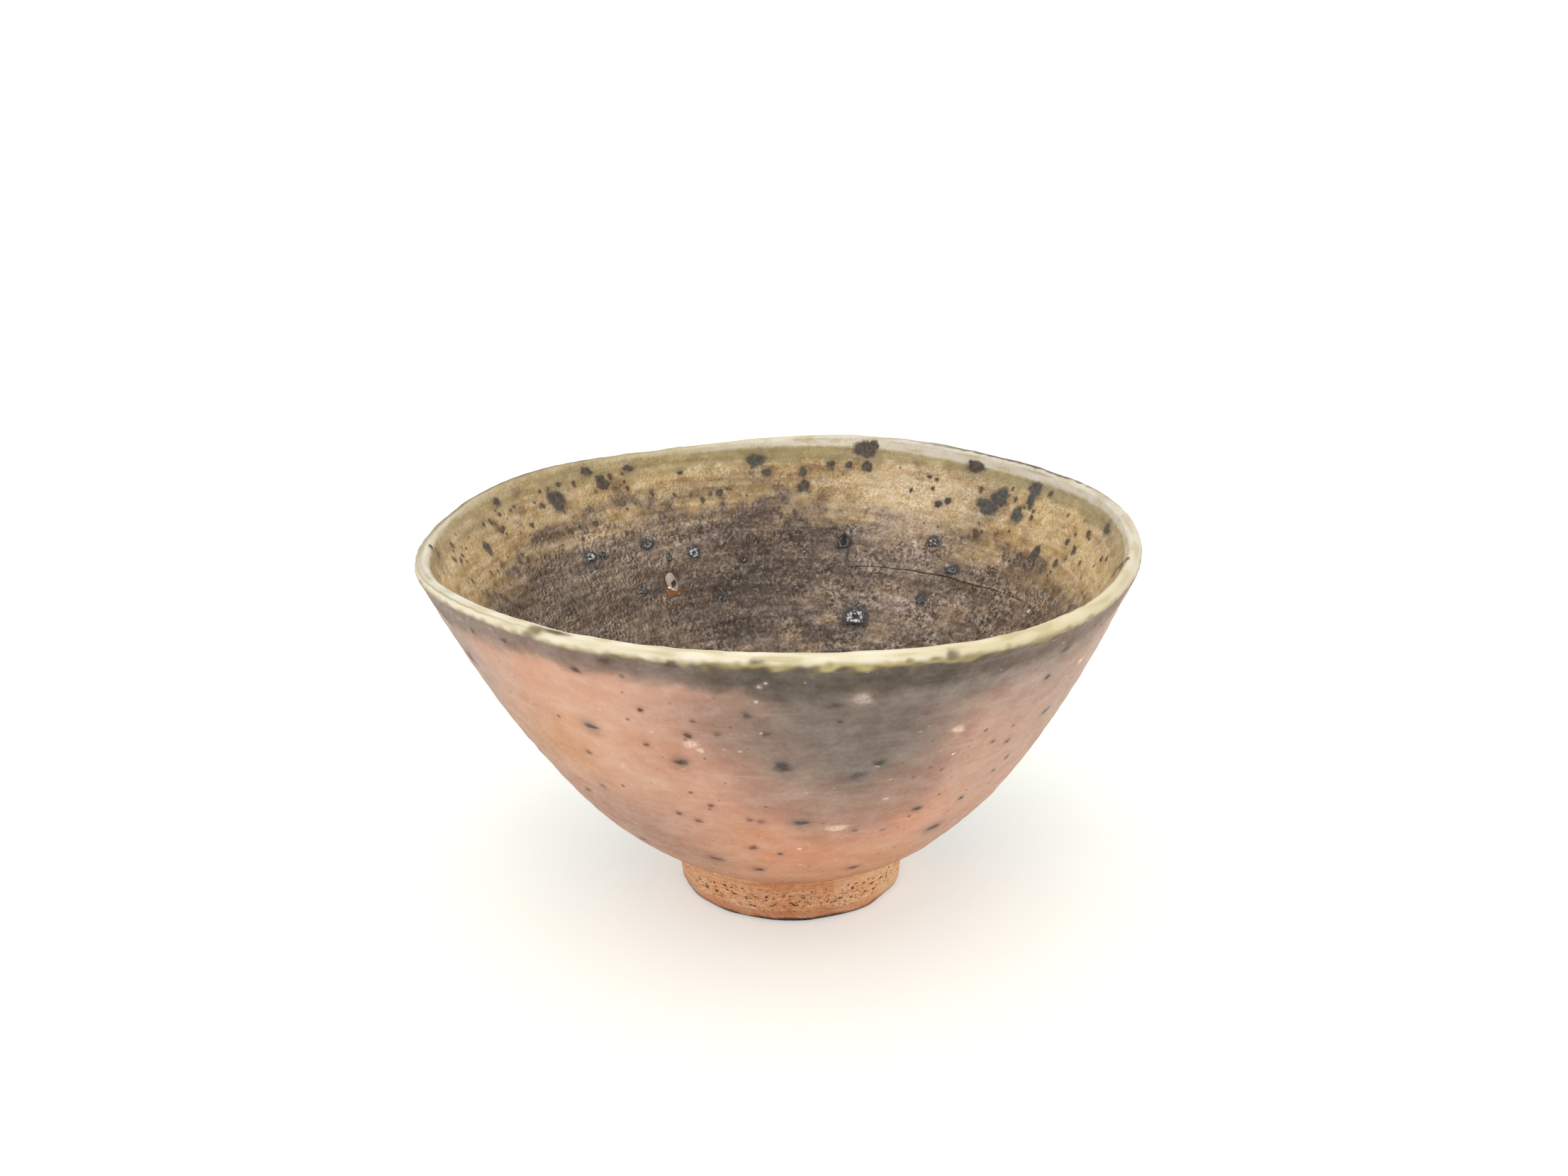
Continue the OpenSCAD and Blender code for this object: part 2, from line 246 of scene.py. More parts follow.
INSIDE_IRON = {
    "inside": [
        (138.8, 2.09, 3.9, 3.3), (129.8, 2.02, 2.3, 1.4), (127.2, 2.066, 2.8, 2.5),
        (120.8, 2.032, 1.8, 1.2), (92.5, 2.102, 1.6, 1.3), (85, 2.108, 1.5, 1.7), (84.8, 2.155, 2, 2.2),
        (102.8, 2.154, 1.4, 1.2), (72.5, 2.03, 4.2, 2.8), (70.8, 2.016, 2.4, 1.8), (71.5, 2.086, 1.8, 2.2),
        (75.4, 2.084, 1.4, 1.3), (79.2, 2.082, 1.5, 1.2), (48, 2.03, 4, 1.9), (4.2, 2.046, 2.3, 1.7),
        (23.8, 2.229, 1.9, 3), (-0.8, 2.114, 1.2, 1), (54.2, 2.176, 1.5, 1.2), (52.2, 2.16, 1.2, 1.4),
        (57.5, 2.094, 0.9, 0.7), (55.8, 2.098, 0.7, 0.6), (153.2, 2.024, 1.7, 1.2),
        (162.8, 2.126, 1.7, 2.2), (182, 1.9, 1.3, 0.9), (15.5, 2.154, 1.2, 1.3), (110.2, 2.07, 0.9, 0.7),
        (73.9, 2.385, 0.6, 3), (86, 2.33, 1.8, 1.5), (52.5, 2.3, 2, 1.4),
    ],
    "slate": [
        (40, 2.108, 4, 3.3), (42.2, 2.146, 4.6, 3), (34, 2.144, 2.5, 2.8), (32, 2.048, 3.2, 2.2),
        (31.8, 2.085, 1.9, 3.2), (51.5, 2.488, 2.4, 2.2),
    ],
    "pit": [(75, 2.344, 2.4, 2.6)],
    "green": [(94.6, 2.058, 3, 2.6)],
    "smear": [(-14.6, 2.06, 1.5, 1.8), (-16, 2.025, 1.8, 1.5), (-17.2, 1.93, 1.8, 1.1)],
    "dot": [],
}
# Soft brown stains in the glaze, which have no edge of their own
STAINS = [
    (180.8, 2.02, 3.2, 2.6), (147.2, 2.022, 2.8, 2.2), (142.8, 2.186, 2.8, 2.2), (173, 2.238, 1.4, 3.6),
    (148.5, 2.082, 2.2, 1.6), (80.5, 2.2, 3.4, 2.2), (100.4, 2.226, 3, 2.6), (156.5, 2.084, 1.6, 2),
    (124, 2.1, 3, 2.4), (61.5, 2.06, 1.6, 1.2), (29.2, 2.308, 3, 2.4), (9.8, 2.31, 1.5, 2.6),
    (15.2, 2.11, 1.4, 1.8), (13.5, 2.2, 1.4, 2.2), (37.2, 2.222, 2, 1.6), (162, 2.2, 2.4, 3),
]
STONES = {
    "grey": [
        (-78, 0.892, 2.6, 1.8), (-92.3, 0.936, 0.7, 0.5), (-91.4, 0.948, 0.6, 0.4),
        (-73.9, 0.636, 0.7, 0.5),
    ],
    "peach": [
        (-104.2, 0.72, 2.2, 1.6), (-102.8, 0.7, 1.3, 1), (-61, 0.738, 2, 1.5), (-79.5, 0.388, 3.2, 1.5),
        (-35, 0.83, 1.6, 1.2), (-70.8, 0.498, 0.8, 0.6),
    ],
    "white": [
        (-103.8, 0.712, 0.6, 0.5), (-79, 0.389, 0.9, 0.5), (-87.2, 0.294, 0.8, 0.6), (-60, 0.64, 0.6, 0.5),
        # A painted glint inside the bowl: a small white patch where the glaze catches the light.
        (15.5, 2.39, 0.7, 0.9),
    ],
}
STONE_TINTS = {"grey": (190, 172, 158), "peach": (238, 202, 176), "white": (246, 232, 218)}
BLISTERS = {
    "bright": [
        (111.2, 2.344, 2.2, 1.9), (53, 2.298, 1.9, 1.6), (69.5, 2.58, 3.9, 3.3), (137.2, 2.292, 2.4, 1.4),
    ],
    "dull": [
        (75, 2.344, 2.2, 2.2), (121.8, 2.294, 2.2, 1.6), (45.5, 2.37, 2.2, 1.6), (51.5, 2.488, 1.9, 1.7),
        (117.5, 2.35, 1, 0.9), (107, 2.5, 1.2, 1), (134, 2.296, 1.4, 0.9), (99.5, 2.388, 1.1, 1),
        (127, 2.44, 1.5, 1.3),
    ],
}
# The bright blisters' pale ring is partly pale glaze and partly painted highlight on the glassy rim.
BLISTER_TINTS = {"bright": (232, 233, 230), "dull": (140, 140, 137)}
CHIP, AMBER = (118.8, 2.430, 2.6, 4.0), (119.2, 2.460, 3.8, 3.0)
# Painted highlights on the chip: a white glint and a lit facet, as pale raised patches.
CHIP_GLINTS = {"glint": [(119.8, 2.447, 1.1, 0.5)], "lit_facet": [(118.9, 2.455, 1.3, 0.5)]}
CHIP_TINTS = {"glint": (255, 246, 226), "lit_facet": (238, 214, 186)}
# The first colour is painted shade in the chip's cleft, a hollow; the second is the hairline crack's.
CLEFT_SHADE, CRACK_DARK = (52, 42, 36), (44, 36, 32)
HAIRLINE = [(76, 2.422), (66, 2.414), (57, 2.406), (47, 2.400), (38, 2.394), (28, 2.384), (16, 2.372)]

# Specks, and the marks of the sides that the photograph doesn't show, fall by chance
FAR_OUTSIDE, NEAR_INSIDE, NEAR_FLOOR = (-20, 197), (-170, -22), (-160, -20)
DOT_FIELDS = [(46, (-8, 36), (2.04, 2.42)), (26, (36, 120), (2.05, 2.26)), (95, (120, 178), (2.04, 2.36)),
              (60, (-178, -10), (2.04, 2.4))]
chance = np.random.default_rng(26)


def scatter(count, az_span, s_span, size, least, tall=1.0):
    """Seeded spots of mixed size between two angles and two places of the section."""
    width = chance.gamma(2.5, size / 2.5, count) + least
    return list(zip(chance.uniform(*az_span, count), chance.uniform(*s_span, count), width,
                    tall * width * chance.uniform(0.6, 0.9, count)))


for iron, number, top in (("black", 22, 0.96), ("blue", 8, 0.96), ("brown", 22, 0.96), ("plum", 6, 0.55)):
    OUTSIDE_IRON[iron] += scatter(number, FAR_OUTSIDE, (0.15, top), 0.8, 0.5)
INSIDE_IRON["inside"] += scatter(30, NEAR_INSIDE, (2.03, 2.3), 1.4, 0.5)
for number, span, reach in DOT_FIELDS:
    INSIDE_IRON["dot"] += scatter(number, span, reach, 0.4, 0.22, 1.5)
for stone, number, size, least in (("peach", 6, 1.2, 0.6), ("white", 5, 0.4, 0.4)):
    STONES[stone] += scatter(number, (0, 180), (0.3, 0.9), size, least)
for blister, number in (("bright", 4), ("dull", 5)):
    BLISTERS[blister] += scatter(number, NEAR_FLOOR, (2.3, 2.7), 1.0, 0.8)


# Where the colours lie

def turn_off(az, centre):
    """Signed angle from centre to az, in degrees."""
    return (az - centre + 180) % 360 - 180


def round_bump(az, centre, half):
    """1 at the angle centre, fading over half degrees to each side."""
    return np.exp(-(turn_off(az, centre) / half) ** 2)


def bump(value, centre, half):
    """1 at the value centre, fading over half to each side."""
    return np.exp(-((value - centre) / half) ** 2)


def lay(paint, share, colour):
    """The paint with this share of another colour laid over it."""
    share = np.clip(share, 0, 1)[:, None]
    return paint * (1 - share) + np.asarray(colour, float) * share


def lay_all(paint, *layers):
    """The paint with layers of (share, colour) laid over it in turn."""
    for share, colour in layers:
        paint = lay(paint, share, colour)
    return paint


def lay_clouds(paint, clouds, az, t):
    """The paint with soft clouds laid over it, from a list such as SLIP_CLOUDS."""
    for middle, height, wide, tall, strength, colour in clouds:
        paint = lay(paint, strength * round_bump(az, middle, wide) * bump(t, height, tall), colour)
    return paint


def plain(colour, count):
    """The paint of count points that all have one colour."""
    return np.tile(np.asarray(colour, float), (count, 1))


# Flame-marked slip, as (az, share of the wall's height, half width in degrees, half height, strength, colour)
SLIP_CLOUDS = [
    (-119, 0.76, 30, 0.24, 0.9, (228, 178, 150)), (-134, 0.6, 13, 0.15, 0.75, (216, 161, 119)),
    (-153, 0.84, 13, 0.22, 0.8, (180, 159, 150)), (-155, 0.5, 14, 0.25, 0.6, (201, 168, 149)),
    (-127, 0.32, 24, 0.15, 0.9, (188, 153, 134)), (-119, 0.22, 16, 0.12, 0.75, (168, 137, 121)),
    (-84, 0.29, 27, 0.14, 0.9, (220, 156, 121)), (-68, 0.14, 40, 0.11, 0.8, (216, 158, 119)),
    (-46, 0.55, 18, 0.32, 0.8, (206, 168, 147)), (-30, 0.75, 12, 0.28, 0.8, (191, 170, 154)),
    (-40, 0.2, 12, 0.1, 0.6, (190, 158, 138)), (-48, 0.84, 15, 0.12, 0.7, (173, 149, 136)),
    (-108, 0.66, 9, 0.14, 0.5, (196, 150, 126)), (-107, 0.84, 9, 0.1, 0.6, (188, 148, 128)),
    (5, 0.6, 24, 0.22, 0.8, (214, 160, 124)), (25, 0.25, 26, 0.14, 0.8, (184, 148, 130)),
    (60, 0.45, 20, 0.16, 0.7, (210, 152, 116)), (100, 0.28, 30, 0.14, 0.8, (204, 150, 118)),
    (130, 0.72, 24, 0.24, 0.9, (221, 172, 144)), (160, 0.4, 22, 0.18, 0.7, (186, 150, 132)),
    (178, 0.74, 16, 0.22, 0.7, (205, 160, 134)), (-100, 0.82, 8, 0.1, 0.55, (192, 143, 118)),
    (-60, 0.36, 12, 0.08, 0.55, (222, 158, 124)),
]
# Tongues of smoke, as (az of the middle, half width to its left and right in degrees, reach down the wall)
SMOKE_TONGUES = [(-77, 23, 18, 0.43), (78, 34, 26, 0.45)]
PEACH, SMOKE, PLUM = (216, 168, 141), (126, 114, 104), (177, 135, 118)
HEAVY_ASH, THIN_ASH = (99, 88, 77), (134, 115, 102)
OCHRE, BRIGHT_OCHRE, OLIVE = (198, 168, 121), (212, 185, 136), (163, 147, 104)
DARK_BROWN, CREAM, YELLOW_CREAM, GREY_CREAM = (111, 95, 82), (232, 221, 190), (220, 204, 158), (206, 196, 178)

# Streaks inside, as (az, share of the wall's height, half width, half height, strength, colour)
GLAZE_CLOUDS = [
    # The two clouds at az 60 on the next line are painted sheen: a soft pale reflection on the far inside
    # wall.
    (60, 0.62, 14, 0.3, 0.62, (176, 157, 141)), (60, 0.84, 15, 0.08, 0.7, (233, 208, 167)),
    (10, 0.86, 20, 0.06, 0.6, (229, 199, 147)), (174, 0.92, 9, 0.06, 0.6, (224, 191, 139)),
    (88, 0.87, 24, 0.012, 0.5, BRIGHT_OCHRE), (133, 0.765, 11, 0.016, 1, (214, 186, 144)),
    (112, 0.755, 16, 0.01, 0.5, (176, 152, 123)), (125, 0.7, 17, 0.09, 0.5, (154, 134, 118)),
    (118, 0.645, 14, 0.016, 0.5, (163, 143, 123)), (38, 0.683, 14, 0.017, 0.6, (205, 178, 142)),
    (30, 0.61, 22, 0.04, 0.5, (110, 94, 81)), (92, 0.64, 14, 0.1, 0.55, (95, 78, 67)),
    (100, 0.55, 18, 0.07, 0.6, (94, 79, 69)), (160, 0.66, 12, 0.06, 0.5, (106, 88, 76)),
    (88, 0.475, 14, 0.03, 0.6, (152, 129, 108)), (52, 0.475, 22, 0.035, 0.6, (167, 146, 130)),
    (30, 0.5, 10, 0.04, 0.5, (147, 125, 108)), (134, 0.5, 14, 0.05, 0.4, (136, 121, 108)),
    (150, 0.9, 16, 0.03, 0.4, (176, 150, 116)), (-90, 0.8, 50, 0.03, 0.5, (176, 152, 121)),
    (-60, 0.55, 30, 0.06, 0.4, (150, 125, 103)), (-130, 0.62, 26, 0.05, 0.4, (143, 123, 106)),
    (80, 0.575, 70, 0.025, 0.45, (92, 78, 68)), (120, 0.65, 18, 0.02, 0.5, (156, 136, 118)),
    (62, 0.655, 18, 0.02, 0.5, (176, 157, 140)), (98, 0.868, 16, 0.032, 0.7, (142, 116, 82)),
    (84, 0.905, 10, 0.02, 0.4, (150, 126, 90)), (102, 0.51, 12, 0.05, 0.5, (98, 82, 70)),
    (52, 0.43, 16, 0.05, 0.5, (152, 132, 114)), (24, 0.62, 14, 0.06, 0.7, (158, 136, 112)),
    (146, 0.8, 12, 0.05, 0.4, (160, 134, 98)), (96, 0.5, 17, 0.12, 0.58, (83, 70, 60)),
    (172, 0.86, 9, 0.07, 0.4, (170, 140, 98)), (102, 0.42, 12, 0.06, 0.45, (80, 67, 57)),
    (60, 0.94, 14, 0.03, 0.35, (186, 162, 118)),
]


def smoke_share(az, t, middle, left, right, reach):
    """A tongue of smoke that hangs from the rim: dense at the middle and frayed at its tip."""
    off = turn_off(az, middle)
    half = np.where(off < 0, left, right + 26 * smooth(0.82, 0.95, t))
    deep = np.hypot(off / half, np.clip(0.86 - t, 0, None) / reach)
    fringe = 0.58 * bump(deep, 1.06, 0.21) * (1 - smooth(0.85, 0.95, t))
    return 0.97 * (1 - smooth(0.35, 1.35, deep)) * (1 - 0.25 * smooth(10, 32, off)), fringe


def slip_paint(az, t, fray):
    """Colour and darkness of the outside."""
    paint = lay_clouds(plain(PEACH, len(az)), SLIP_CLOUDS, az, t)
    dark = np.zeros_like(t)
    for tongue in SMOKE_TONGUES:
        share, fringe = smoke_share(az, t, *tongue)
        paint = lay(lay(paint, fringe, PLUM), share, SMOKE)
        dark = np.maximum(dark, share)
    paint = lay_all(paint, (0.6 * round_bump(az, -45, 20) * bump(t, 0.915, 0.05), (166, 150, 137)),
                    (0.85 * (1 - smooth(0.04, 0.14, t)), (188, 132, 95)))
    heavy = np.clip(1.25 * round_bump(az, -79, 25) + round_bump(az, 75, 50), 0, 1)
    edge = 0.962 - 0.050 * heavy - 0.026 * round_bump(az, -142, 16) + 0.003 * fray
    band = smooth(edge - 0.045, edge + 0.02, t) * (0.88 + 0.12 * heavy)
    ash_tone = lay(plain(THIN_ASH, len(az)), heavy, HEAVY_ASH)
    ash_tone = lay(ash_tone, 0.7 * round_bump(az, -93, 10), (88, 78, 68))
    return lay(paint, band, ash_tone), np.maximum(dark, band)


def glaze_paint(az, t, fray, mottle, fleck):
    """Colour and darkness of the inside. mottle and fleck are noise of a few millimetres."""
    edge = (0.712 + 0.11 * round_bump(az, 104, 26) + 0.10 * round_bump(az, 147, 22)
            + 0.04 * round_bump(az, -80, 60))
    dark = 1 - smooth(edge - 0.08, edge + 0.07, t + 0.018 * fray + 0.026 * mottle + 0.012 * fleck)
    warm = np.clip(round_bump(az, 85, 22) + round_bump(az, 35, 30) + round_bump(az, -90, 70), 0, 1)
    paint = lay_all(
        plain(OCHRE, len(az)),
        (0.5 * bump(t, 0.86, 0.05), BRIGHT_OCHRE),
        (0.50 * smooth(0.1, 1.5, fleck + 0.5 * mottle), (150, 120, 82)),
        (0.35 * smooth(0.4, 1.6, -fleck), (232, 204, 152)),
        (dark, DARK_BROWN),
        (0.5 * (1 - smooth(0.30, 0.52, t)), (120, 104, 92)),
        (0.75 * (0.35 + 0.65 * warm) * dark * smooth(0.1, 1.3, mottle + 0.6 * fleck), (166, 139, 106)),
        (0.40 * dark * smooth(0.1, 1.4, -mottle), (82, 68, 59)))
    paint = lay_clouds(paint, GLAZE_CLOUDS, az, t)
    green = np.clip(round_bump(az, 30, 34) + round_bump(az, 88, 18) + 0.5 * round_bump(az, 128, 30)
                    + 0.5 * round_bump(az, -90, 60), 0, 1)
    pool = smooth(0.918, 0.952, t + 0.007 * fray) * (0.40 + 0.45 * green)
    return lay(paint, pool, OLIVE), dark, pool


LIP_START, LIP_END = way(1.0), way(2.0)
# Run over rise of the photograph's line of sight at the rim, for how much of the lip the far side hides
VIEW_STEEPNESS = 2.75

# Lip colours, as (az, half width in degrees, strength, colour)
LIP_CLOUDS = [
    (-40, 30, 0.85, YELLOW_CREAM), (5, 32, 0.9, GREY_CREAM), (45, 34, 0.9, (214, 204, 190)),
    (88, 34, 0.85, (224, 214, 196)), (140, 34, 0.9, (176, 159, 117)), (168, 14, 0.5, (208, 194, 154)),
]
# Stains on the lip, as (az, half width in degrees, millimetres over the lip, half height, strength, colour)
LIP_MARKS = [
    (-125, 1.5, 1.5, 0.8, 0.9, (128, 114, 80)), (-122, 2.6, 1.95, 0.45, 1, (104, 88, 58)),
    (-126.2, 1.4, 0.4, 0.8, 0.7, (118, 104, 84)), (-65.8, 0.9, 0.5, 0.9, 0.85, (122, 106, 88)),
    (-112, 1.2, -0.1, 0.4, 0.6, (116, 102, 80)), (-108.2, 0.8, 0, 0.4, 0.6, (124, 108, 82)),
    (-98, 1.6, -0.1, 0.5, 0.6, (120, 106, 78)), (-72, 0.7, 0.3, 0.5, 0.6, (128, 112, 76)),
    (-158, 2.5, 2.2, 0.3, 0.5, (158, 150, 128)), (-148, 1.6, 2.4, 0.25, 0.5, (166, 158, 136)),
    (14, 5, 2.6, 0.5, 0.4, (160, 146, 120)),
]


def lip_paint(paint, az, s):
    """The cream lip laid over the other colours, with its olive edges, and how much of it shows."""
    over = way(s) - LIP_START
    ragged = ripple(ring_points(60, 0.3 * over, az), 1.9, 24) * (0.3 + 0.7 * round_bump(az, -86, 26))
    streak = ripple(ring_points(11, over, az), 1.3, 25)
    blot = ripple(ring_points(60, 1.2 * over, az), 2.6, 28)
    back = (0.5 + 0.5 * np.cos(np.radians(az - 90))) ** 2
    front = round_bump(az, -80, 22)
    left, right = round_bump(az, -148, 26), round_bump(az, -28, 34)
    outer = (-0.05 + 1.5 * back + 0.45 * round_bump(az, -152, 34) + 0.4 * round_bump(az, -38, 26)
             + 1.45 * round_bump(az, 34, 26) + 0.55 * round_bump(az, -89, 18) + 0.35 * round_bump(az, 26, 30))
    inner = LIP_END - LIP_START + 0.2 + 1.5 * round_bump(az, 52, 48) + 0.3 * round_bump(az, -8, 20)
    soft = 0.22 + 0.35 * (1 - back)

    # Olive glaze that ran off the lip
    fall = (outer - over) / (0.6 + 1.3 * front) + 0.30 * blot
    olive = (1 - smooth(0.1, 1.3, fall)) * smooth(-0.9, -0.3, fall) * (0.40 + 0.50 * front)
    tint = lay(plain((196, 179, 118), len(az)), smooth(0.0, 0.9, fall), (130, 114, 76))
    paint = lay(paint, olive, tint)

    # The cream itself
    shade = plain(CREAM, len(az))
    for middle, half, strength, colour in LIP_CLOUDS:
        shade = lay(shade, strength * round_bump(az, middle, half), colour)
    shade = lay_all(
        shade,
        (0.6 * round_bump(az, -150, 24) * (1 - smooth(1.1, 1.5, over)), (250, 238, 204)),
        (0.7 * round_bump(az, -155, 34) * smooth(1.4, 1.8, over), (218, 210, 190)),
        (0.35 * smooth(1.9, 2.6, over) * (1 - back), (222, 210, 178)),
        (0.55 * smooth(0.2, 1.6, streak) * (1 - 0.6 * left), (194, 177, 132)),
        # The pale streaks on the near half of the lip are painted highlights.
        (0.50 * smooth(0.2, 1.6, -streak) * (1 - back) * (1 - 0.7 * right), (246, 240, 222)),
        (0.8 * round_bump(az, -148, 22) * bump(over + 0.12 * ragged, 1.45, 0.14), (158, 146, 112)),
        # Painted shade on the near lip's inner flank, where it curves down out of sight.
        (0.55 * smooth(2.7, 3.15, over + 0.15 * streak) * round_bump(az, -95, 60), (182, 160, 128)))
    cream = (smooth(outer - soft, outer + soft, over + 0.10 * ragged + 0.12 * blot)
             * (1 - smooth(inner - 0.5, inner + 0.4, over + 0.16 * ragged))
             * (1 - 0.6 * round_bump(az, 140, 28)))
    paint = lay(paint, cream, shade)

    # Worn and ash-stained edges at the far side
    edge = round_bump(az, 148, 40) * (1 - smooth(2.25, 2.75, over + 0.1 * streak))
    hidden = LIP_T / 2 * (LIP_LEAN + np.arctan(VIEW_STEEPNESS * np.sin(np.radians(az))))
    worn = (np.clip(1.3 * round_bump(az, 34, 24), 0, 1)
            * (1 - smooth(0.85, 1.35, over - hidden + 0.15 * ragged + 0.10 * blot)))
    paint = lay_all(paint, (0.85 * edge, (120, 101, 78)), (0.9 * worn, (94, 82, 70)))
    for middle, half, at, tall, strength, colour in LIP_MARKS:
        near = round_bump(az, middle, half) * bump(over, at, tall)
        paint = lay(paint, strength * smooth(0.05, 0.9, near * (1 + 0.25 * ragged)), colour)
    return paint, cream


def gap_to(spot, az, length, r):
    """Millimetres from each place to a spot's middle: round the bowl, and along the section."""
    return np.radians(turn_off(az, spot[0])) * r, length - way(spot[1])


def skin_marks(az, s):
    """Paint and zones of the skin at az and s, as the marks that its meshes carry."""
    r, z, _, _ = section(s)
    length = way(s)
    points = place(r, z, az)
    drift, sag, fray = ripple(points, 13, 21), ripple(points, 9, 22), ripple(points, 2.6, 23)
    turned = ring_points(22, 1.2 * length, az)
    mottle, fleck = ripple(turned, 5.5, 26), ripple(turned, 2.4, 27)
    up, down = np.clip(s, 0, 1), np.clip(3 - s, 0, 1)
    outside, slip_dark = slip_paint(az + 1.0 * drift, up + 0.006 * sag, fray)
    glaze, glaze_dark, pool = glaze_paint(az + 2.0 * drift, down + 0.008 * sag, fray, mottle, fleck)
    inside = smooth(LIP_TOP, 1.9, s)
    paint = lay(outside, inside, glaze)

    # Halos round the spots, which run into the coat
    for irons, reach, strength in ((OUTSIDE_IRON, 0.85, 0.42), (INSIDE_IRON, 0.75, 0.40)):
        for tint, spots in irons.items():
            halo = np.zeros_like(s)
            for spot in spots:
                gap = np.hypot(*gap_to(spot, az, length, r))
                halo = np.maximum(halo, np.exp(-(gap / (reach * spot[2])) ** 2))
            paint = lay(paint, strength * halo, 0.55 * np.array(IRON_TINTS[tint]) + 50)
    for stain in STAINS:
        across, along = gap_to(stain, az, length, r)
        gap = np.hypot(across / stain[2], along / stain[3])
        paint = lay(paint, 0.7 * np.exp(-(2 * gap) ** 2) * (1 + 0.3 * fray), (112, 88, 66))
    for spots, strength, reach, power, colour in (
            (BLISTERS["bright"] + BLISTERS["dull"], 0.8, 0.66, 4, (66, 64, 64)),
            (STONES["grey"] + STONES["peach"], 0.35, 0.8, 2, (228, 192, 168))):
        for spot in spots:
            gap = np.hypot(*gap_to(spot, az, length, r))
            paint = lay(paint, strength * np.exp(-(gap / (reach * spot[2])) ** power), colour)

    paint, cream = lip_paint(paint, az, s)
    cream = np.maximum(cream, 0.8 * pool * inside)
    dark = slip_dark * (1 - inside) + glaze_dark * inside
    dotted = (0.25 + 0.75 * round_bump(az, 150, 40)) * smooth(0.6, 0.75, down)
    grit = inside * dotted + (1 - inside) * (1 - 0.6 * slip_dark)
    return {"paint": (*linear(paint).T, np.ones_like(s)), "zone": (inside, dark, cream, grit)}


def linear(display):
    """Display colours as the linear colours that a shader takes."""
    share = np.clip(np.asarray(display, float) / 255, 0, 1)
    return np.where(share <= 0.04045, share / 12.92, ((share + 0.055) / 1.055) ** 2.4)


# Meshes

UV_MARGIN = 0.012


def make_piece(name, points, faces, normals=None, uvs=None, marks=None):
    """A mesh object from points in millimetres, with smooth shading, bake UVs and named colour marks."""
    mesh = bpy.data.meshes.new(name)
    mesh.from_pydata((points * MM).tolist(), [], faces)
    mesh.shade_smooth()
    if uvs is not None:
        mesh.uv_layers.new(name="OFBake").data.foreach_set("uv", np.asarray(uvs, np.float32).ravel())
    for mark, values in (marks or {}).items():
        layer = mesh.attributes.new(mark, "FLOAT_COLOR", "POINT")
        layer.data.foreach_set("color", np.stack(values, -1).astype(np.float32).ravel())
    if normals is not None:
        mesh.normals_split_custom_set_from_vertices(normals.tolist())
    piece = bpy.data.objects.new(name, mesh)
    bpy.context.collection.objects.link(piece)
    return piece


def finish_piece(piece, material, slot, *nodes):
    """Gives a piece its material, puts it under the root body and hides the CAD nodes that it stands for. The
    slot is not used.
    """
    piece.data.materials.append(material)
    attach(piece, "root")
    if nodes:
        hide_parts(*nodes)


def grid_faces(rows, turns):
    """Quads of a grid that closes on itself round the turn, as rows of point numbers."""
    row, col = np.meshgrid(np.arange(rows - 1), np.arange(turns), indexing="ij")
    after = (col + 1) % turns
    low, high = row * turns, (row + 1) * turns
    return np.stack([low + col, low + after, high + after, high + col], -1).reshape(-1, 4)


def grid_uvs(rows, turns, across, down):
    """Bake UVs for grid_faces: the ring is cut into across times down strips that fill the square."""
    row, col = (v.ravel() for v in np.meshgrid(np.arange(rows - 1), np.arange(turns), indexing="ij"))
    per_strip = turns // (across * down)
    strip = col // per_strip
    corner = np.stack([np.stack([col - strip * per_strip + step, row + climb], -1)
                       for step, climb in ((0, 0), (1, 0), (1, 1), (0, 1))], 1)
    corner = corner / np.array([per_strip, rows - 1])
    cell = np.stack([strip % across, strip // across], -1)[:, None]
    return (cell + UV_MARGIN + corner * (1 - 2 * UV_MARGIN)) / np.array([across, down])


def coat_piece(name, low, high, turns, spacing, across, down):
    """One coat's ring of skin between two places of the section."""
    rows = round((way(high) - way(low)) / spacing) + 1
    lengths = np.linspace(way(low), way(high), rows)
    step = lengths[1] - lengths[0]
    padded = s_at(np.concatenate([[lengths[0] - step], lengths, [lengths[-1] + step]]))
    padded[1], padded[-2] = low, high
    az = np.linspace(-180, 180, turns, endpoint=False)
    s_grid, az_grid = (v.ravel() for v in np.meshgrid(padded, az, indexing="ij"))
    points = skin(az_grid, s_grid).reshape(rows + 2, turns, 3)
    normals = np.cross(np.roll(points, -1, 1) - np.roll(points, 1, 1), np.gradient(points, axis=0))
    normals /= np.linalg.norm(normals, axis=2, keepdims=True) + 1e-12
    keep = slice(turns, -turns)
    marks = {mark: [v[keep] for v in values] for mark, values in skin_marks(az_grid, s_grid).items()}
    return make_piece(name, points[1:-1].reshape(-1, 3), grid_faces(rows, turns).tolist(),
                      normals[1:-1].reshape(-1, 3), grid_uvs(rows, turns, across, down), marks)


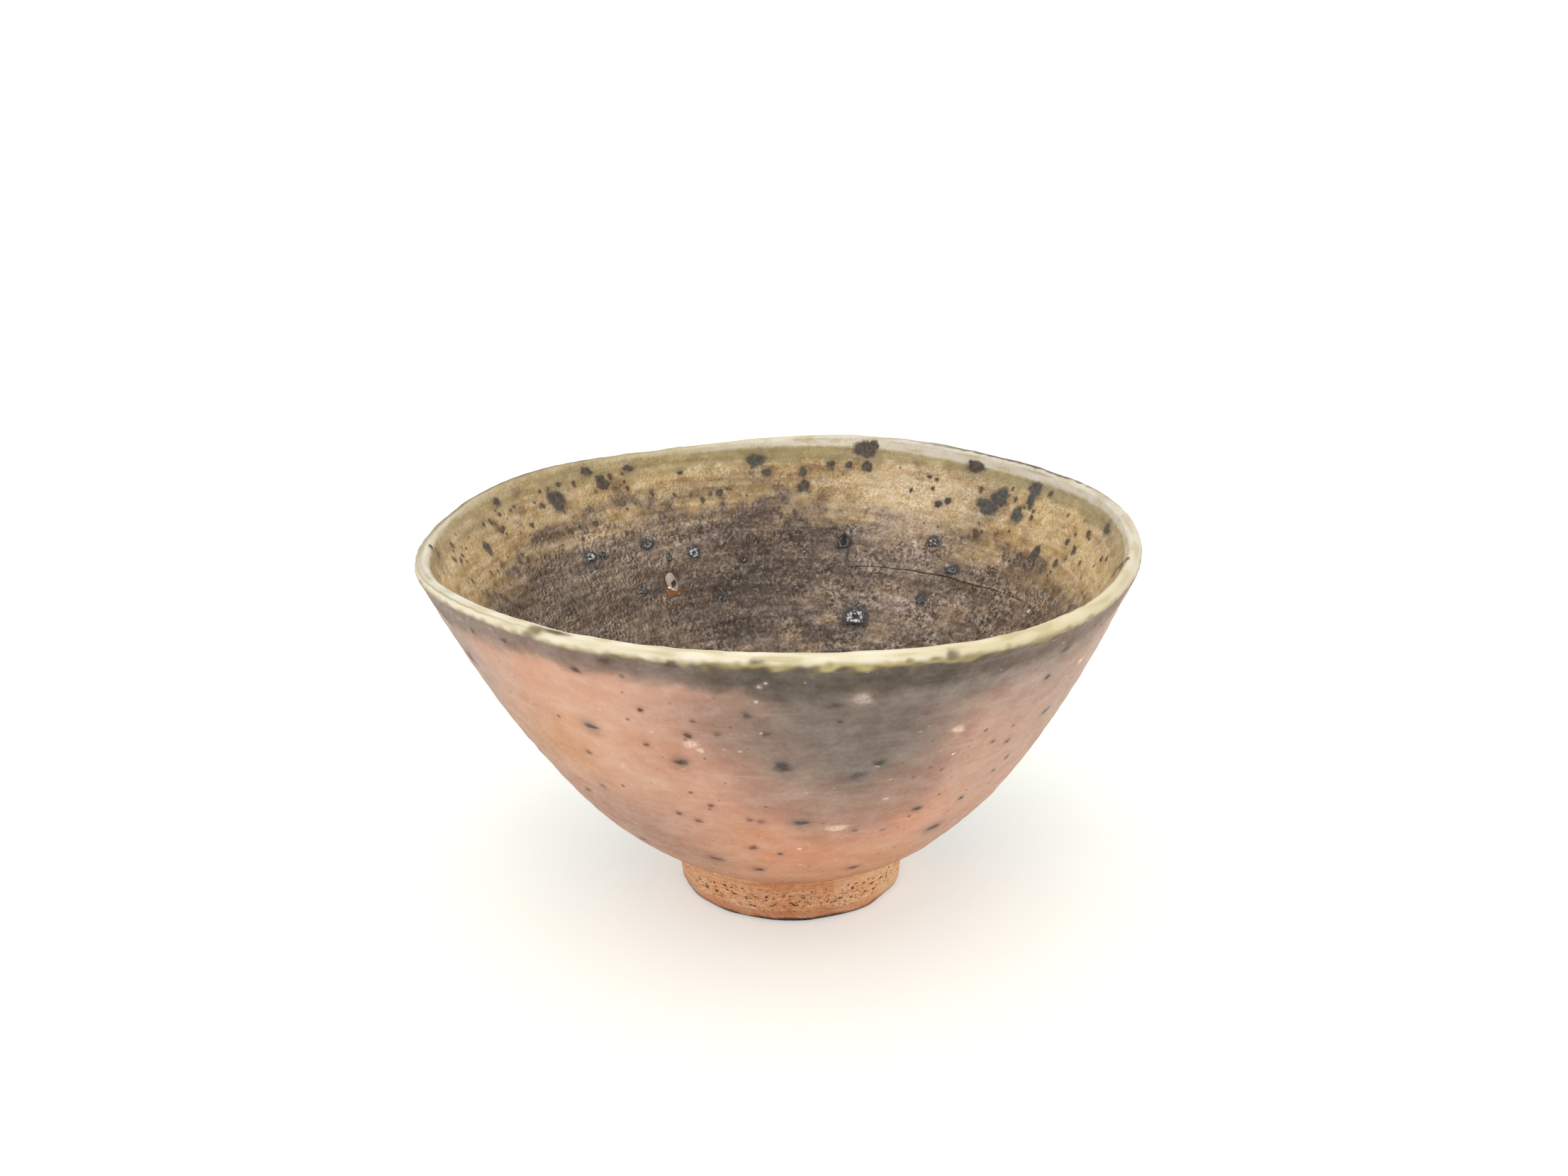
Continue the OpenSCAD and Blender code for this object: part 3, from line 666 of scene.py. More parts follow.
def patch(spot, spread, seed, rings, spokes, wobble):
    """A round patch on the skin with an uneven outline: az, s, and its own across, up and way out."""
    az, s, width, height = spot
    rng = np.random.default_rng(seed)
    turn = np.linspace(0, 2 * math.pi, spokes, endpoint=False)
    reach = 1 + wobble * sum(size * np.cos(lobes * turn + rng.uniform(0, 2 * math.pi))
                             for lobes, size in ((2, 0.13), (3, 0.10), (5, 0.06), (8, 0.03)))
    out = np.concatenate([[0], np.repeat(np.linspace(0, 1, rings + 1)[1:], spokes)])
    turn, reach = (np.concatenate([[0], np.tile(v, rings)]) for v in (turn, reach))
    across, up = out * np.cos(turn), out * np.sin(turn)
    radius = float(section(np.array([s]))[0, 0])
    side = -1 if s > LIP_TOP else 1
    az_at = az + np.degrees(width / 2 * spread * reach * across / radius)
    return az_at, s_at(way(s) + side * height / 2 * spread * reach * up), across, up, out


def patch_faces(rings, spokes, start, flip):
    """Triangles round the middle and quads beyond it, for the points of one patch."""
    spoke = np.arange(spokes)
    after = (spoke + 1) % spokes
    if flip:
        spoke, after = after, spoke
    faces = [(start, start + 1 + a, start + 1 + b) for a, b in zip(spoke, after)]
    for ring in range(rings - 1):
        inner, outer = start + 1 + ring * spokes, start + 1 + (ring + 1) * spokes
        faces += [(inner + a, outer + a, outer + b, inner + b) for a, b in zip(spoke, after)]
    return faces


def patches_piece(name, groups, swell, spread, seed, rings=9, spokes=30, wobble=1.0, hollow_shade=None):
    """One piece made of small patches, from (colour, spots) groups.

    swell gives a patch's height off the skin, and the last argument how much of it is painted as the shade of
    a hollow.
    """
    points, faces, marks, count = [], [], {}, 0
    for colour, spots in groups:
        for spot in spots:
            az, s, across, up, out = patch(spot, spread, seed * 1000 + count, rings, spokes, wobble)
            lift = swell(out=out, across=across, up=up, flat=skin(az, s), width=spot[2])
            points.append(skin(az, s, lift))
            faces += patch_faces(rings, spokes, count, spot[1] > LIP_TOP)
            found = skin_marks(az, s)
            shade = plain(colour, len(out))
            if hollow_shade:
                # Painted shade in a hollow, such as the chip's cleft.
                shade = lay(shade, hollow_shade(across, up), CLEFT_SHADE)
            found["stain"] = (*linear(shade).T, 1 - out)
            for mark, values in found.items():
                marks.setdefault(mark, []).append(np.stack(values))
            count += len(out)
    marks = {mark: list(np.concatenate(values, 1)) for mark, values in marks.items()}
    return make_piece(name, np.concatenate(points), faces, marks=marks)


def turned_piece(name, profile, turns, dent, marks, across, down):
    """A ring turned from a profile of (radius, height), pushed out along its own normals by dent."""
    ways = np.gradient(profile, axis=0)
    ways /= np.hypot(*ways.T)[:, None] + 1e-12
    az = np.linspace(-180, 180, turns, endpoint=False)
    r, az_grid = np.meshgrid(profile[:, 0], az, indexing="ij")
    z = np.repeat(profile[:, 1:], turns, 1)
    push = dent(r, z, az_grid)
    colours = marks(r, z, az_grid)
    r, z = r + ways[:, 1:] * push, z - ways[:, :1] * push
    points = ring_points(r, np.maximum(z, 0), az_grid) + (FOOT_SHIFT, 0, 0)
    return make_piece(name, points.reshape(-1, 3), grid_faces(len(profile), turns).tolist(),
                      uvs=grid_uvs(len(profile), turns, across, down), marks=colours)


# Shading

def tone(red, green, blue):
    """A display colour as a shader's colour."""
    return (*(float(v) for v in linear((red, green, blue))), 1.0)


class Nodes:
    """Short words for adding nodes to one shader tree."""

    def __init__(self, tree, material=None):
        self.tree, self.material = tree, material

    def add(self, kind, inputs=None, **settings):
        """A new node, with sockets linked to its inputs and other values set on them."""
        node = self.tree.nodes.new(kind)
        for key, value in settings.items():
            setattr(node, key, value)
        for key, value in (inputs or {}).items():
            if isinstance(value, bpy.types.NodeSocket):
                self.tree.links.new(value, node.inputs[key])
            else:
                node.inputs[key].default_value = value
        return node

    def calc(self, operation, a, b):
        return self.add("ShaderNodeMath", {0: a, 1: b}, operation=operation).outputs[0]

    def times(self, *values):
        return functools.reduce(functools.partial(self.calc, "MULTIPLY"), values)

    def total(self, *values):
        return functools.reduce(functools.partial(self.calc, "ADD"), values)

    def rest(self, value):
        return self.calc("SUBTRACT", 1.0, value)

    def step(self, value, low, high, to_low=0.0, to_high=1.0):
        """An S curve from to_low, where the value is low, to to_high, where it is high."""
        ends = {"From Min": low, "From Max": high, "To Min": to_low, "To Max": to_high}
        return self.add("ShaderNodeMapRange", {"Value": value, **ends},
                        interpolation_type="SMOOTHSTEP").outputs["Result"]

    def mix(self, share, a, b):
        return self.add("ShaderNodeMix", {0: share, 6: a, 7: b}, data_type="RGBA").outputs[2]

    def over(self, colour, *layers):
        """A colour with layers of (share, colour) mixed over it in turn."""
        for share, shade in layers:
            colour = self.mix(share, colour, shade)
        return colour

    def shade(self, colour, share):
        """A colour made lighter or darker by a share of itself."""
        scaled = self.add("ShaderNodeVectorMath", {0: colour, "Scale": share}, operation="SCALE")
        return scaled.outputs["Vector"]

    def place(self, across=1.0, up=1.0, shift=0.0):
        """Object position in millimetres, divided by the given sizes across and up."""
        spot = self.add("ShaderNodeTexCoord").outputs["Object"]
        scale = (1 / MM / across, 1 / MM / across, 1 / MM / up)
        moved = self.add("ShaderNodeMapping", {
            "Vector": spot, "Location": (shift, shift * 0.7, -shift), "Scale": scale})
        return moved.outputs["Vector"]

    def noise(self, across, up=None, detail=3.0, rough=0.55, shift=0.0, twist=0.0):
        """Noise from 0 to 1 with grains of about the given size in millimetres, drawn into worms by twist."""
        grain = self.add("ShaderNodeTexNoise", {
            "Vector": self.place(across, up or across, shift), "Scale": 1.0, "Detail": detail,
            "Roughness": rough, "Distortion": twist})
        return grain.outputs["Fac"]

    def swing(self, grain, amount, low=0.32, high=0.68):
        """Noise made to swing between plus and minus half the amount."""
        return self.step(grain, low, high, -amount / 2, amount / 2)

    def emboss(self, size, up=None, lean=0.35, shift=0.0, **kind):
        """Grains as if lit from one side: above 0 on one flank and below it on the other."""
        return self.calc("SUBTRACT", self.noise(size, up, shift=shift, **kind),
                         self.noise(size, up, shift=shift + lean, **kind))

    def specks(self, size, reach, keep, shift=0.0, flat=1.0):
        """Small specks in cells of the given size: how far they reach, the share kept, and their flatness."""
        cells = self.add("ShaderNodeTexVoronoi", {
            "Vector": self.place(size, size * flat, shift), "Scale": 1.0, "Randomness": 1.0})
        chosen = self.add("ShaderNodeSeparateColor", {0: cells.outputs["Color"]})
        inside = self.calc("SUBTRACT", self.times(chosen.outputs[1], reach), cells.outputs["Distance"])
        kept = self.calc("LESS_THAN", chosen.outputs[0], keep)
        return self.times(self.step(inside, 0.0, reach * 0.5), kept)

    def mark(self, name):
        """The four numbers that a mesh carries under this name."""
        node = self.add("ShaderNodeAttribute", attribute_name=name)
        parts = self.add("ShaderNodeSeparateColor", {0: node.outputs["Color"]})
        return (*parts.outputs, node.outputs["Alpha"])

    def deepen(self, name, thick):
        """A painted colour raised to a power, as light is by glaze of that thickness."""
        deep = {k: self.calc("POWER", v, thick) for k, v in enumerate(self.mark(name)[:3])}
        return self.add("ShaderNodeCombineColor", deep).outputs[0]


def fired_skin():
    """Colour, roughness and height of the fired surface, shared by all coats so that they run together."""
    tree = bpy.data.node_groups.new("fired_skin", "ShaderNodeTree")
    for name, kind in (("Color", "Color"), ("Roughness", "Float"), ("Height", "Float")):
        tree.interface.new_socket(name, in_out="OUTPUT", socket_type="NodeSocket" + kind)
    n = Nodes(tree)
    inside, dark, cream, grit = n.mark("zone")
    outside = n.rest(inside)

    grains = n.noise(0.68, shift=21, detail=2, twist=0.5)
    # Crinkled glaze as painted light and shade: the embossed grains are lighter on one flank and darker on
    # the other.
    wrinkle_shade = n.emboss(0.68, lean=0.30, shift=21, detail=2, twist=0.5)
    crinkle_shade = n.total(n.times(wrinkle_shade, dark), n.times(n.emboss(0.5, shift=27), n.rest(dark), 0.85))
    leather = n.step(n.noise(6, 4.5, detail=2, shift=33), 0.36, 0.62, 0.5, 1.05)
    arcs = n.noise(15, 0.9, detail=4, shift=31)
    fine = n.noise(0.7, detail=3, shift=9)
    inner = n.total(n.swing(n.noise(1.9, 1.3, shift=41), 0.34), n.swing(arcs, 0.34))
    outer = n.total(n.swing(fine, 0.07), n.swing(n.noise(3.4, 2.2, shift=5), 0.16), n.swing(arcs, 0.05),
                    n.swing(n.noise(10, 7, shift=7), 0.16))
    uneven = n.total(n.times(inner, inside), n.times(outer, outside))
    thick = n.total(1.0, n.times(uneven, n.step(cream, 0.0, 1.0, 1.0, 0.35)))
    colour = n.deepen("paint", thick)
    rough = n.times(inside, leather, n.step(cream, 0.0, 1.0, 1.0, 0.25),
                    n.step(dark, 0.0, 1.0, 0.45, 1.0))
    # The crinkle's painted shade, with random tone from the grains, lightens and darkens the glaze's colour.
    dent_shade_and_tone = n.total(n.swing(crinkle_shade, 1.15, -0.15, 0.15), n.swing(grains, 0.2))
    colour = n.shade(colour, n.total(1.0, n.times(dent_shade_and_tone, rough)))
    # Painted glints: pale highlights on the lit crests of the crinkle in the dark glaze.
    crest_glints = n.times(n.step(crinkle_shade, 0.15, 0.27, 0, 0.45), rough, dark)
    colour = n.mix(crest_glints, colour, tone(206, 194, 178))

    # Slip: rubbed pale along throwing lines, with red-brown and white grit
    bare = n.times(outside, n.rest(cream))
    rubbed = n.step(n.noise(22, 0.7, detail=3, shift=14), 0.58, 0.74, 0, 0.15)
    drift = n.step(n.noise(9, 5, detail=2, shift=77), 0.42, 0.62, 0.1, 1.0)
    colour = n.over(
        colour,
        (n.times(rubbed, bare, n.rest(n.times(dark, 0.7))), tone(240, 206, 184)),
        (n.times(n.specks(2.2, 0.28, 0.42, 2), bare, grit, 0.75), tone(122, 76, 62)),
        (n.times(n.specks(1.3, 0.24, 0.28, 4), bare, grit, 0.6), tone(156, 98, 80)),
        (n.times(n.specks(2.0, 0.26, 0.40, 7, flat=0.55), bare, drift, 0.55), tone(244, 208, 184)),
        (n.times(n.specks(2.9, 0.15, 0.30, 8), bare, n.step(dark, 0.0, 1.0, 0.75, 0.4)), tone(246, 224, 206)))

    # Glaze: brown dots where it lies thin, and ochre flecks and small pale painted glints where it is dark.
    # Lip: fine brown pinholes
    glazed = n.times(inside, n.rest(cream))
    flecks = n.step(n.noise(0.9, 0.7, detail=3, shift=63), 0.57, 0.66, 0, 0.4)
    colour = n.over(
        colour,
        (n.times(n.specks(1.7, 0.36, 0.5, 51), glazed, grit, 0.85), tone(88, 68, 50)),
        (n.times(flecks, glazed, dark), tone(168, 140, 108)),
        # Painted glints: small pale specks that stand for highlights in the dark glaze.
        (n.times(n.specks(1.5, 0.16, 0.25, 61), glazed, dark, 0.8), tone(206, 196, 180)),
        (n.times(n.specks(1.2, 0.20, 0.22, 91), cream, 0.4), tone(160, 142, 108)))

    polish = n.total(n.times(outside, 0.60), n.times(inside, 0.44), n.times(cream, -0.12),
                     n.swing(fine, 0.16))
    ground = n.total(n.times(fine, 0.22), n.times(arcs, 0.25))
    glass = n.total(n.times(grains, 1.3), n.times(n.noise(1.5, shift=111), 0.6))
    height = n.total(n.times(ground, outside, 0.8), n.times(glass, inside, n.rest(n.times(cream, 0.7))))
    n.add("NodeGroupOutput", {"Color": colour, "Roughness": polish, "Height": height})
    return tree


SKIN = fired_skin()


def start_material(name):
    """The nodes of a new, empty material."""
    material = bpy.data.materials.new(name)
    material.use_nodes = True
    material.node_tree.nodes.clear()
    return Nodes(material.node_tree, material)


def start_spot(name):
    """A material for patches on the skin, with the skin's own looks and the nearness to a patch's middle."""
    n = start_material(name)
    return n, n.add("ShaderNodeGroup", node_tree=SKIN).outputs, n.mark("stain")[3]


def end_material(n, colour, roughness, height, bump_mm, gloss=0.5):
    """Adds the surface shader, with linked colour, roughness and bump and a constant gloss."""
    dented = n.add("ShaderNodeBump", {"Height": height, "Distance": bump_mm * MM, "Strength": 1.0})
    shader = n.add("ShaderNodeBsdfPrincipled", {
        "Base Color": colour, "Roughness": roughness, "Normal": dented.outputs["Normal"],
        "Specular IOR Level": gloss})
    n.add("ShaderNodeOutputMaterial", {"Surface": shader.outputs["BSDF"]})
    return n.material


def coat_material(name, gloss):
    """The fired skin as it is."""
    n = start_material(name)
    fired = n.add("ShaderNodeGroup", node_tree=SKIN).outputs
    return end_material(n, fired["Color"], fired["Roughness"], fired["Height"], 0.12, gloss)


def stain_material(name, edge, fringe, roughness):
    """Iron that bled through the coat: dense in the middle, and the coat's own colour at the edge."""
    n, fired, core = start_spot(name)
    broken = n.total(core, n.swing(n.noise(0.5, detail=4, shift=3), fringe))
    iron = n.deepen("stain", n.total(1.0, n.swing(n.noise(0.7, detail=2, shift=8), 0.25)))
    colour = n.mix(n.step(broken, *edge), fired["Color"], iron)
    rough = n.total(roughness, n.swing(n.noise(0.4, shift=5), 0.2))
    return end_material(n, colour, rough, n.times(n.noise(0.6, shift=2), 0.6), 0.04, gloss=0.12)


def stone_material():
    """White feldspar that pushed through the slip, with a creamy and pinkish edge."""
    n, fired, core = start_spot("quartz")
    grain = n.noise(0.45, detail=4, shift=13)
    broken = n.total(core, n.swing(grain, 0.35))
    white = n.deepen("stain", n.total(1.0, n.swing(grain, 0.7)))
    white = n.mix(n.step(grain, 0.54, 0.66, 0, 0.6), white, fired["Color"])
    colour = n.mix(n.step(broken, 0.12, 0.62), fired["Color"], white)
    return end_material(n, colour, n.step(grain, 0.3, 0.7, 0.35, 0.6), n.noise(0.4, detail=4, shift=17), 0.15)


def chip_material():
    """A smooth grey-tan flake of stone with a cleft painted dark as its shade."""
    n, fired, core = start_spot("chip")
    flake = n.deepen("stain", n.total(1.0, n.swing(n.noise(0.6, shift=19), 0.25)))
    colour = n.mix(n.step(core, 0.02, 0.16), fired["Color"], flake)
    rough = n.step(n.noise(0.5, shift=15), 0.3, 0.7, 0.3, 0.45)
    return end_material(n, colour, rough, n.noise(0.5, shift=17), 0.04, gloss=0.15)


def blister_material():
    """Burst bubbles in the glaze: a dark glassy hollow in a pale broken ring, partly pale glaze and partly
    painted highlight.
    """
    n, fired, core = start_spot("blister_glass")
    grain = n.noise(0.4, detail=3, shift=23)
    broken = n.total(core, n.swing(grain, 0.20))
    glass = n.mix(n.step(grain, 0.58, 0.68), tone(66, 67, 68), tone(176, 178, 178))
    gaps = n.step(n.noise(0.55, shift=29), 0.42, 0.56, 0.05, 1.0)
    # The ring is pale glaze with painted highlights on its glassy rim.
    ring = n.times(n.step(broken, 0.46, 0.56), n.step(broken, 0.82, 0.72), gaps)
    pale = n.deepen("stain", n.total(1.0, n.swing(grain, 0.4)))
    colour = n.over(fired["Color"], (n.step(broken, 0.02, 0.30, 0, 0.8), glass), (n.times(ring, 0.95), pale),
                    (n.step(broken, 0.76, 0.88, 0, 0.9), tone(56, 55, 54)))
    return end_material(n, colour, n.step(grain, 0.3, 0.7, 0.15, 0.35), grain, 0.1, gloss=0.1)


def amber_material():
    """A run of amber glass round the chip: dark brown at its edge, lighter in the middle, with painted
    highlights of pale cream.
    """
    n, fired, core = start_spot("amber_glass")
    cloudy = n.noise(0.8, shift=37)
    middle = n.step(n.total(core, n.swing(cloudy, 0.4)), 0.15, 0.60)
    # Painted highlights: pale cream spots near the amber's edge.
    amber_highlights = n.times(n.step(n.noise(0.5, shift=39), 0.58, 0.64), n.step(core, 0.5, 0.25))
    amber = n.over(tone(114, 62, 36), (middle, tone(142, 92, 56)), (n.times(amber_highlights, 0.8), tone(250, 222, 190)))
    colour = n.mix(n.step(n.total(core, n.swing(cloudy, 0.3)), 0.02, 0.5), fired["Color"], amber)
    return end_material(n, colour, n.step(cloudy, 0.3, 0.7, 0.08, 0.16), cloudy, 0.05, gloss=0.2)


def clay_material(name, pale):
    """Bare stoneware: warm, gritty, scored by the turning tool and pitted where grit was torn out."""
    n = start_material(name)
    pit, rough, _, _ = n.mark("zone")
    fine, lines = n.noise(0.5, detail=4, shift=43), n.noise(9, 0.3, detail=4, shift=47)
    uneven = n.total(n.swing(fine, 0.30), n.swing(lines, 0.32), n.swing(n.noise(4, 2, shift=53), 0.25))
    colour = n.deepen("paint", n.total(1.0, uneven))
    patchy = n.step(n.noise(3.5, 2.2, detail=2, shift=59), 0.40, 0.60, 0.25, 1.0)
    tears = n.times(n.step(n.noise(0.80, 0.26, detail=2, shift=55), 0.58, 0.64), rough, patchy)
    scratches = n.times(n.step(n.noise(1.0, 0.28, detail=4, shift=57), 0.53, 0.62), rough)
    # Torn texture as painted light and shade: embossed grains, lighter on one flank and darker on the other.
    torn = n.swing(n.emboss(0.5, 0.32, shift=71), 0.26, -0.17, 0.17)
    colour = n.mix(n.times(scratches, 0.55), colour, pale)
    # The torn texture's painted light and shade lightens and darkens the colour in the rough band.
    colour = n.shade(colour, n.total(1.0, n.times(torn, rough)))
    colour = n.mix(n.times(tears, 0.75), colour, tone(112, 62, 36))
    colour = n.mix(n.step(pit, 0.25, 0.6), colour, tone(100, 58, 36))
    holes = n.calc("MAXIMUM", tears, pit)
    height = n.total(n.times(fine, 0.6, rough), n.times(lines, 0.5), n.times(holes, -0.9))
    return end_material(n, colour, n.step(fine, 0.3, 0.7, 0.55, 0.75), height, 0.14, gloss=0.25)


# The coats: node, slot, gloss, where it starts and ends, points round it and millimetres between its rows,
# and the strips of its bake UVs across and down

for node, slot, gloss, low, high, turns, spacing, across, down in (
        ("outside_slip", "flashing_slip", 0.18, 0.0, ASH_FROM, TURNS, 0.5, 2, 2),
        ("ash_band", "fly_ash", 0.18, ASH_FROM, LIP_TO, LIP_TURNS, 0.3, 1, 8),
        ("lip_glaze", "cream_glaze", 0.3, LIP_TO, 3 - LIP_FROM, LIP_TURNS, 0.16, 1, 8),
        ("glaze_pool", "olive_glaze", 0.3, 3 - LIP_FROM, 3 - POOL_FROM, LIP_TURNS, 0.3, 1, 8),
        ("inside_glaze", "brown_glaze", 0.3, 3 - POOL_FROM, FLOOR_END, TURNS, 0.57, 2, 2)):
    coat = coat_piece(node, low, high, turns, spacing, across, down)
    finish_piece(coat, coat_material(slot, gloss), slot, node)


# Spots, stones, glass and the hairline. Each swell is a patch's height off the skin, by the way out from its
# middle and what else it needs

def low_swell(out, **_):
    return 0.012 + 0.05 * (1 - out ** 2)


def stone_swell(out, flat, width, **_):
    return 0.012 + 0.07 * width * (1 - out ** 2) * np.clip(1 + 0.5 * ripple(flat, 0.7, 31), 0.2, None)


def blister_swell(out, flat, **_):
    rim = 0.16 * bump(out, 0.55, 0.16) * (1 + 0.4 * ripple(flat, 1.2, 33))
    return 0.015 + np.maximum(rim, 0) + 0.02 * (1 - out)


def cleft(across, up):
    """The hollow that runs up the chip to the right, as seen from the bowl's middle; its mask also paints the
    hollow's shade dark.
    """
    right, high = -across - 0.2, up + 0.2
    along, aside = 0.72 * right + 0.69 * high, 0.72 * high - 0.69 * right
    return 0.95 * smooth(0.3, 0.7, bump(along, 0, 0.66) * bump(aside + 0.10 * np.sin(6 * along), 0, 0.32))


def chip_swell(out, across, up, **_):
    return 0.03 + 0.55 * np.sqrt(np.clip(1 - out ** 2, 0, 1)) - 0.4 * cleft(across, up) * (1 - out)


def glint_swell(out, **_):
    return 0.32 + 0.1 * (1 - out ** 2)


def amber_swell(out, **_):
    return 0.02 + 0.20 * np.sqrt(np.clip(1 - out ** 2, 0, 1))


def tinted(spots, tints):
    """(colour, spots) groups from spots that are kept by the name of their tint."""
    return [(tints[tint], found) for tint, found in spots.items()]


CHIP_GREY, AMBER_BROWN = (182, 168, 154), (150, 86, 40)
finish_piece(patches_piece("iron_spots_outside", tinted(OUTSIDE_IRON, IRON_TINTS),
                           low_swell, spread=1.8, seed=1),
             stain_material("iron_outside", edge=(0.04, 0.74), fringe=0.07, roughness=0.5),
             "iron_outside", "iron_spots_outside")
finish_piece(patches_piece("iron_spots_inside", tinted(INSIDE_IRON, IRON_TINTS),
                           low_swell, spread=1.7, seed=2),
             stain_material("iron_inside", edge=(0.16, 0.50), fringe=0.12, roughness=0.42),
             "iron_inside", "iron_spots_inside")
finish_piece(patches_piece("quartz_grit", tinted(STONES, STONE_TINTS), stone_swell, spread=1.5, seed=3),
             stone_material(), "quartz", "quartz_grit")
finish_piece(patches_piece("grey_chip", [(CHIP_GREY, [CHIP])], chip_swell, spread=1.0, seed=6,
                           rings=16, spokes=48, wobble=0.5, hollow_shade=cleft),
             chip_material(), "quartz")
# Painted highlights on the chip, as pale raised patches.
finish_piece(patches_piece("chip_glints", tinted(CHIP_GLINTS, CHIP_TINTS), glint_swell, spread=1.0, seed=7),
             chip_material(), "quartz")
finish_piece(patches_piece("glass_blisters", tinted(BLISTERS, BLISTER_TINTS),
                           blister_swell, spread=1.6, seed=4,
                           rings=14, spokes=40, wobble=0.6),
             blister_material(), "blister_glass", "glass_blisters")
finish_piece(patches_piece("amber_drop", [(AMBER_BROWN, [AMBER])], amber_swell, spread=1.0, seed=5,
                           rings=12, spokes=36),
             amber_material(), "amber_glass", "amber_drop")


def hairline_piece(width=0.3, steps=160):
    """A fine dark crack in the glaze that follows a throwing ring."""
    corners = np.array(HAIRLINE, float)
    share = np.linspace(0, len(corners) - 1, steps)
    az, s = (np.interp(share, np.arange(len(corners)), corners[:, k]) for k in (0, 1))
    middle = way(s) + 0.10 * ripple(skin(az, s), 6, 81)
    sides = (-1, 0, 1)
    az_all = np.tile(az, len(sides))
    s_all = np.concatenate([s_at(middle + side * width / 2) for side in sides])
    core = np.concatenate([np.full(steps, 1.0 - abs(side)) for side in sides])
    core *= np.tile(0.35 + 0.65 * np.sin(np.pi * np.linspace(0.03, 0.97, steps)), len(sides))
    shade = plain(CRACK_DARK, len(az_all))
    faces = [(row + k + 1, row + k, row + steps + k, row + steps + k + 1)
             for row in (0, steps) for k in range(steps - 1)]
    marks = skin_marks(az_all, s_all)
    marks["stain"] = (*linear(shade).T, core)
    return make_piece("glaze_hairline", skin(az_all, s_all, 0.02), faces, marks=marks)


finish_piece(hairline_piece(), stain_material("glaze_crack", edge=(0.1, 0.6), fringe=0.2, roughness=0.45),
             "brown_glaze")


# The foot ring and the recess under it

ROUGH_BAND = (BEVEL_H + 0.1, FOOT_H - 2.0)
RECESS_R = REST_R - REST_W - RECESS_DRAFT
RECESS_TURNS, RECESS_ROWS = 240, 90
FOOT_OUTSIDE_R, FOOT_PITS, FOOT_STEP = 17, 260, 0.17


def foot_side(r, z):
    """1 on the rough band round the foot's outside, where the tool tore the clay."""
    low, high = ROUGH_BAND
    return smooth(low - 0.3, low + 0.3, z) * (1 - smooth(high - 0.8, high, z)) * (r > FOOT_OUTSIDE_R)


def foot_pits(r, z, az):
    """Depth from 0 to 1 of the torn pits in the rough band."""
    rng = np.random.default_rng(7)
    depth = np.zeros_like(r)
    middle = sum(ROUGH_BAND) / 2
    for pit_az, pit_z, wide, tall in zip(
            rng.uniform(-180, 180, FOOT_PITS), rng.normal(middle + 0.2, 1.0, FOOT_PITS),
            rng.gamma(2.2, 0.09, FOOT_PITS) + 0.08, rng.uniform(0.07, 0.17, FOOT_PITS)):
        span = np.degrees(wide / JOINT_R)
        depth = np.maximum(depth, np.exp(-(turn_off(az, pit_az) / span) ** 2 - ((z - pit_z) / tall) ** 2))
    return depth * foot_side(r, z)


def foot_dent(r, z, az):
    """Hand wobble, and the torn pits in the rough band."""
    points = ring_points(r, z, az)
    push = 0.08 * ripple(points, 8, 61) + 0.05 * ripple(points, 2.2, 62) * (0.2 + foot_side(r, z))
    return push - 0.35 * foot_pits(r, z, az)


def clay_marks(paint, pits, rough):
    """The marks of bare clay: its paint, and how far each point is a pit or torn."""
    zeros = np.zeros(len(paint))
    return {"paint": (*linear(paint).T, zeros + 1),
            "zone": (zeros + np.ravel(pits), zeros + np.ravel(rough), zeros, zeros + 1)}


def foot_marks(r, z, az):
    """Paint of the foot ring: a smooth strip under the slip, the rough band and a smooth bevel, whose dark
    base line is partly burnt clay and partly painted shadow.
    """
    flat = [np.ravel(v) for v in (r, z, az)]
    points = ring_points(*flat)
    height, turn = flat[1] + 0.12 * ripple(points, 5, 63), flat[2]
    low, high = ROUGH_BAND
    # Strength of the dark base line, partly burnt clay and partly painted shadow, strongest at the front.
    burnt_and_shade = 0.40 + 0.55 * round_bump(turn, -88, 34)
    paint = lay_all(
        plain((240, 188, 142), len(height)),
        (0.35 * smooth(0.2, 1.4, ripple(points, 9, 64)), (226, 164, 120)),
        (0.8 * smooth(high - 0.6, high + 0.2, height), (222, 164, 122)),
        (0.9 * (1 - smooth(low - 0.3, low + 0.3, height)), (206, 146, 114)),
        # Painted shade darkens the front of the foot, and painted light brightens its right and left sides.
        (0.5 * round_bump(turn, -90, 30), (192, 128, 84)),
        (0.85 * round_bump(turn, -20, 34), (255, 208, 156)),
        (0.3 * round_bump(turn, -160, 30), (255, 206, 158)),
        # The dark base line, partly burnt clay and partly painted shadow where the foot meets the floor.
        (burnt_and_shade * (1 - smooth(0.40, 0.85, height)), (68, 42, 30)),
        # A painted glint: a tiny white spot on the foot's upper left.
        (0.9 * round_bump(turn, -132, 1.2) * bump(flat[1], 6.9, 0.25), (255, 252, 248)))
    return clay_marks(paint, foot_pits(r, z, az), foot_side(r, z))


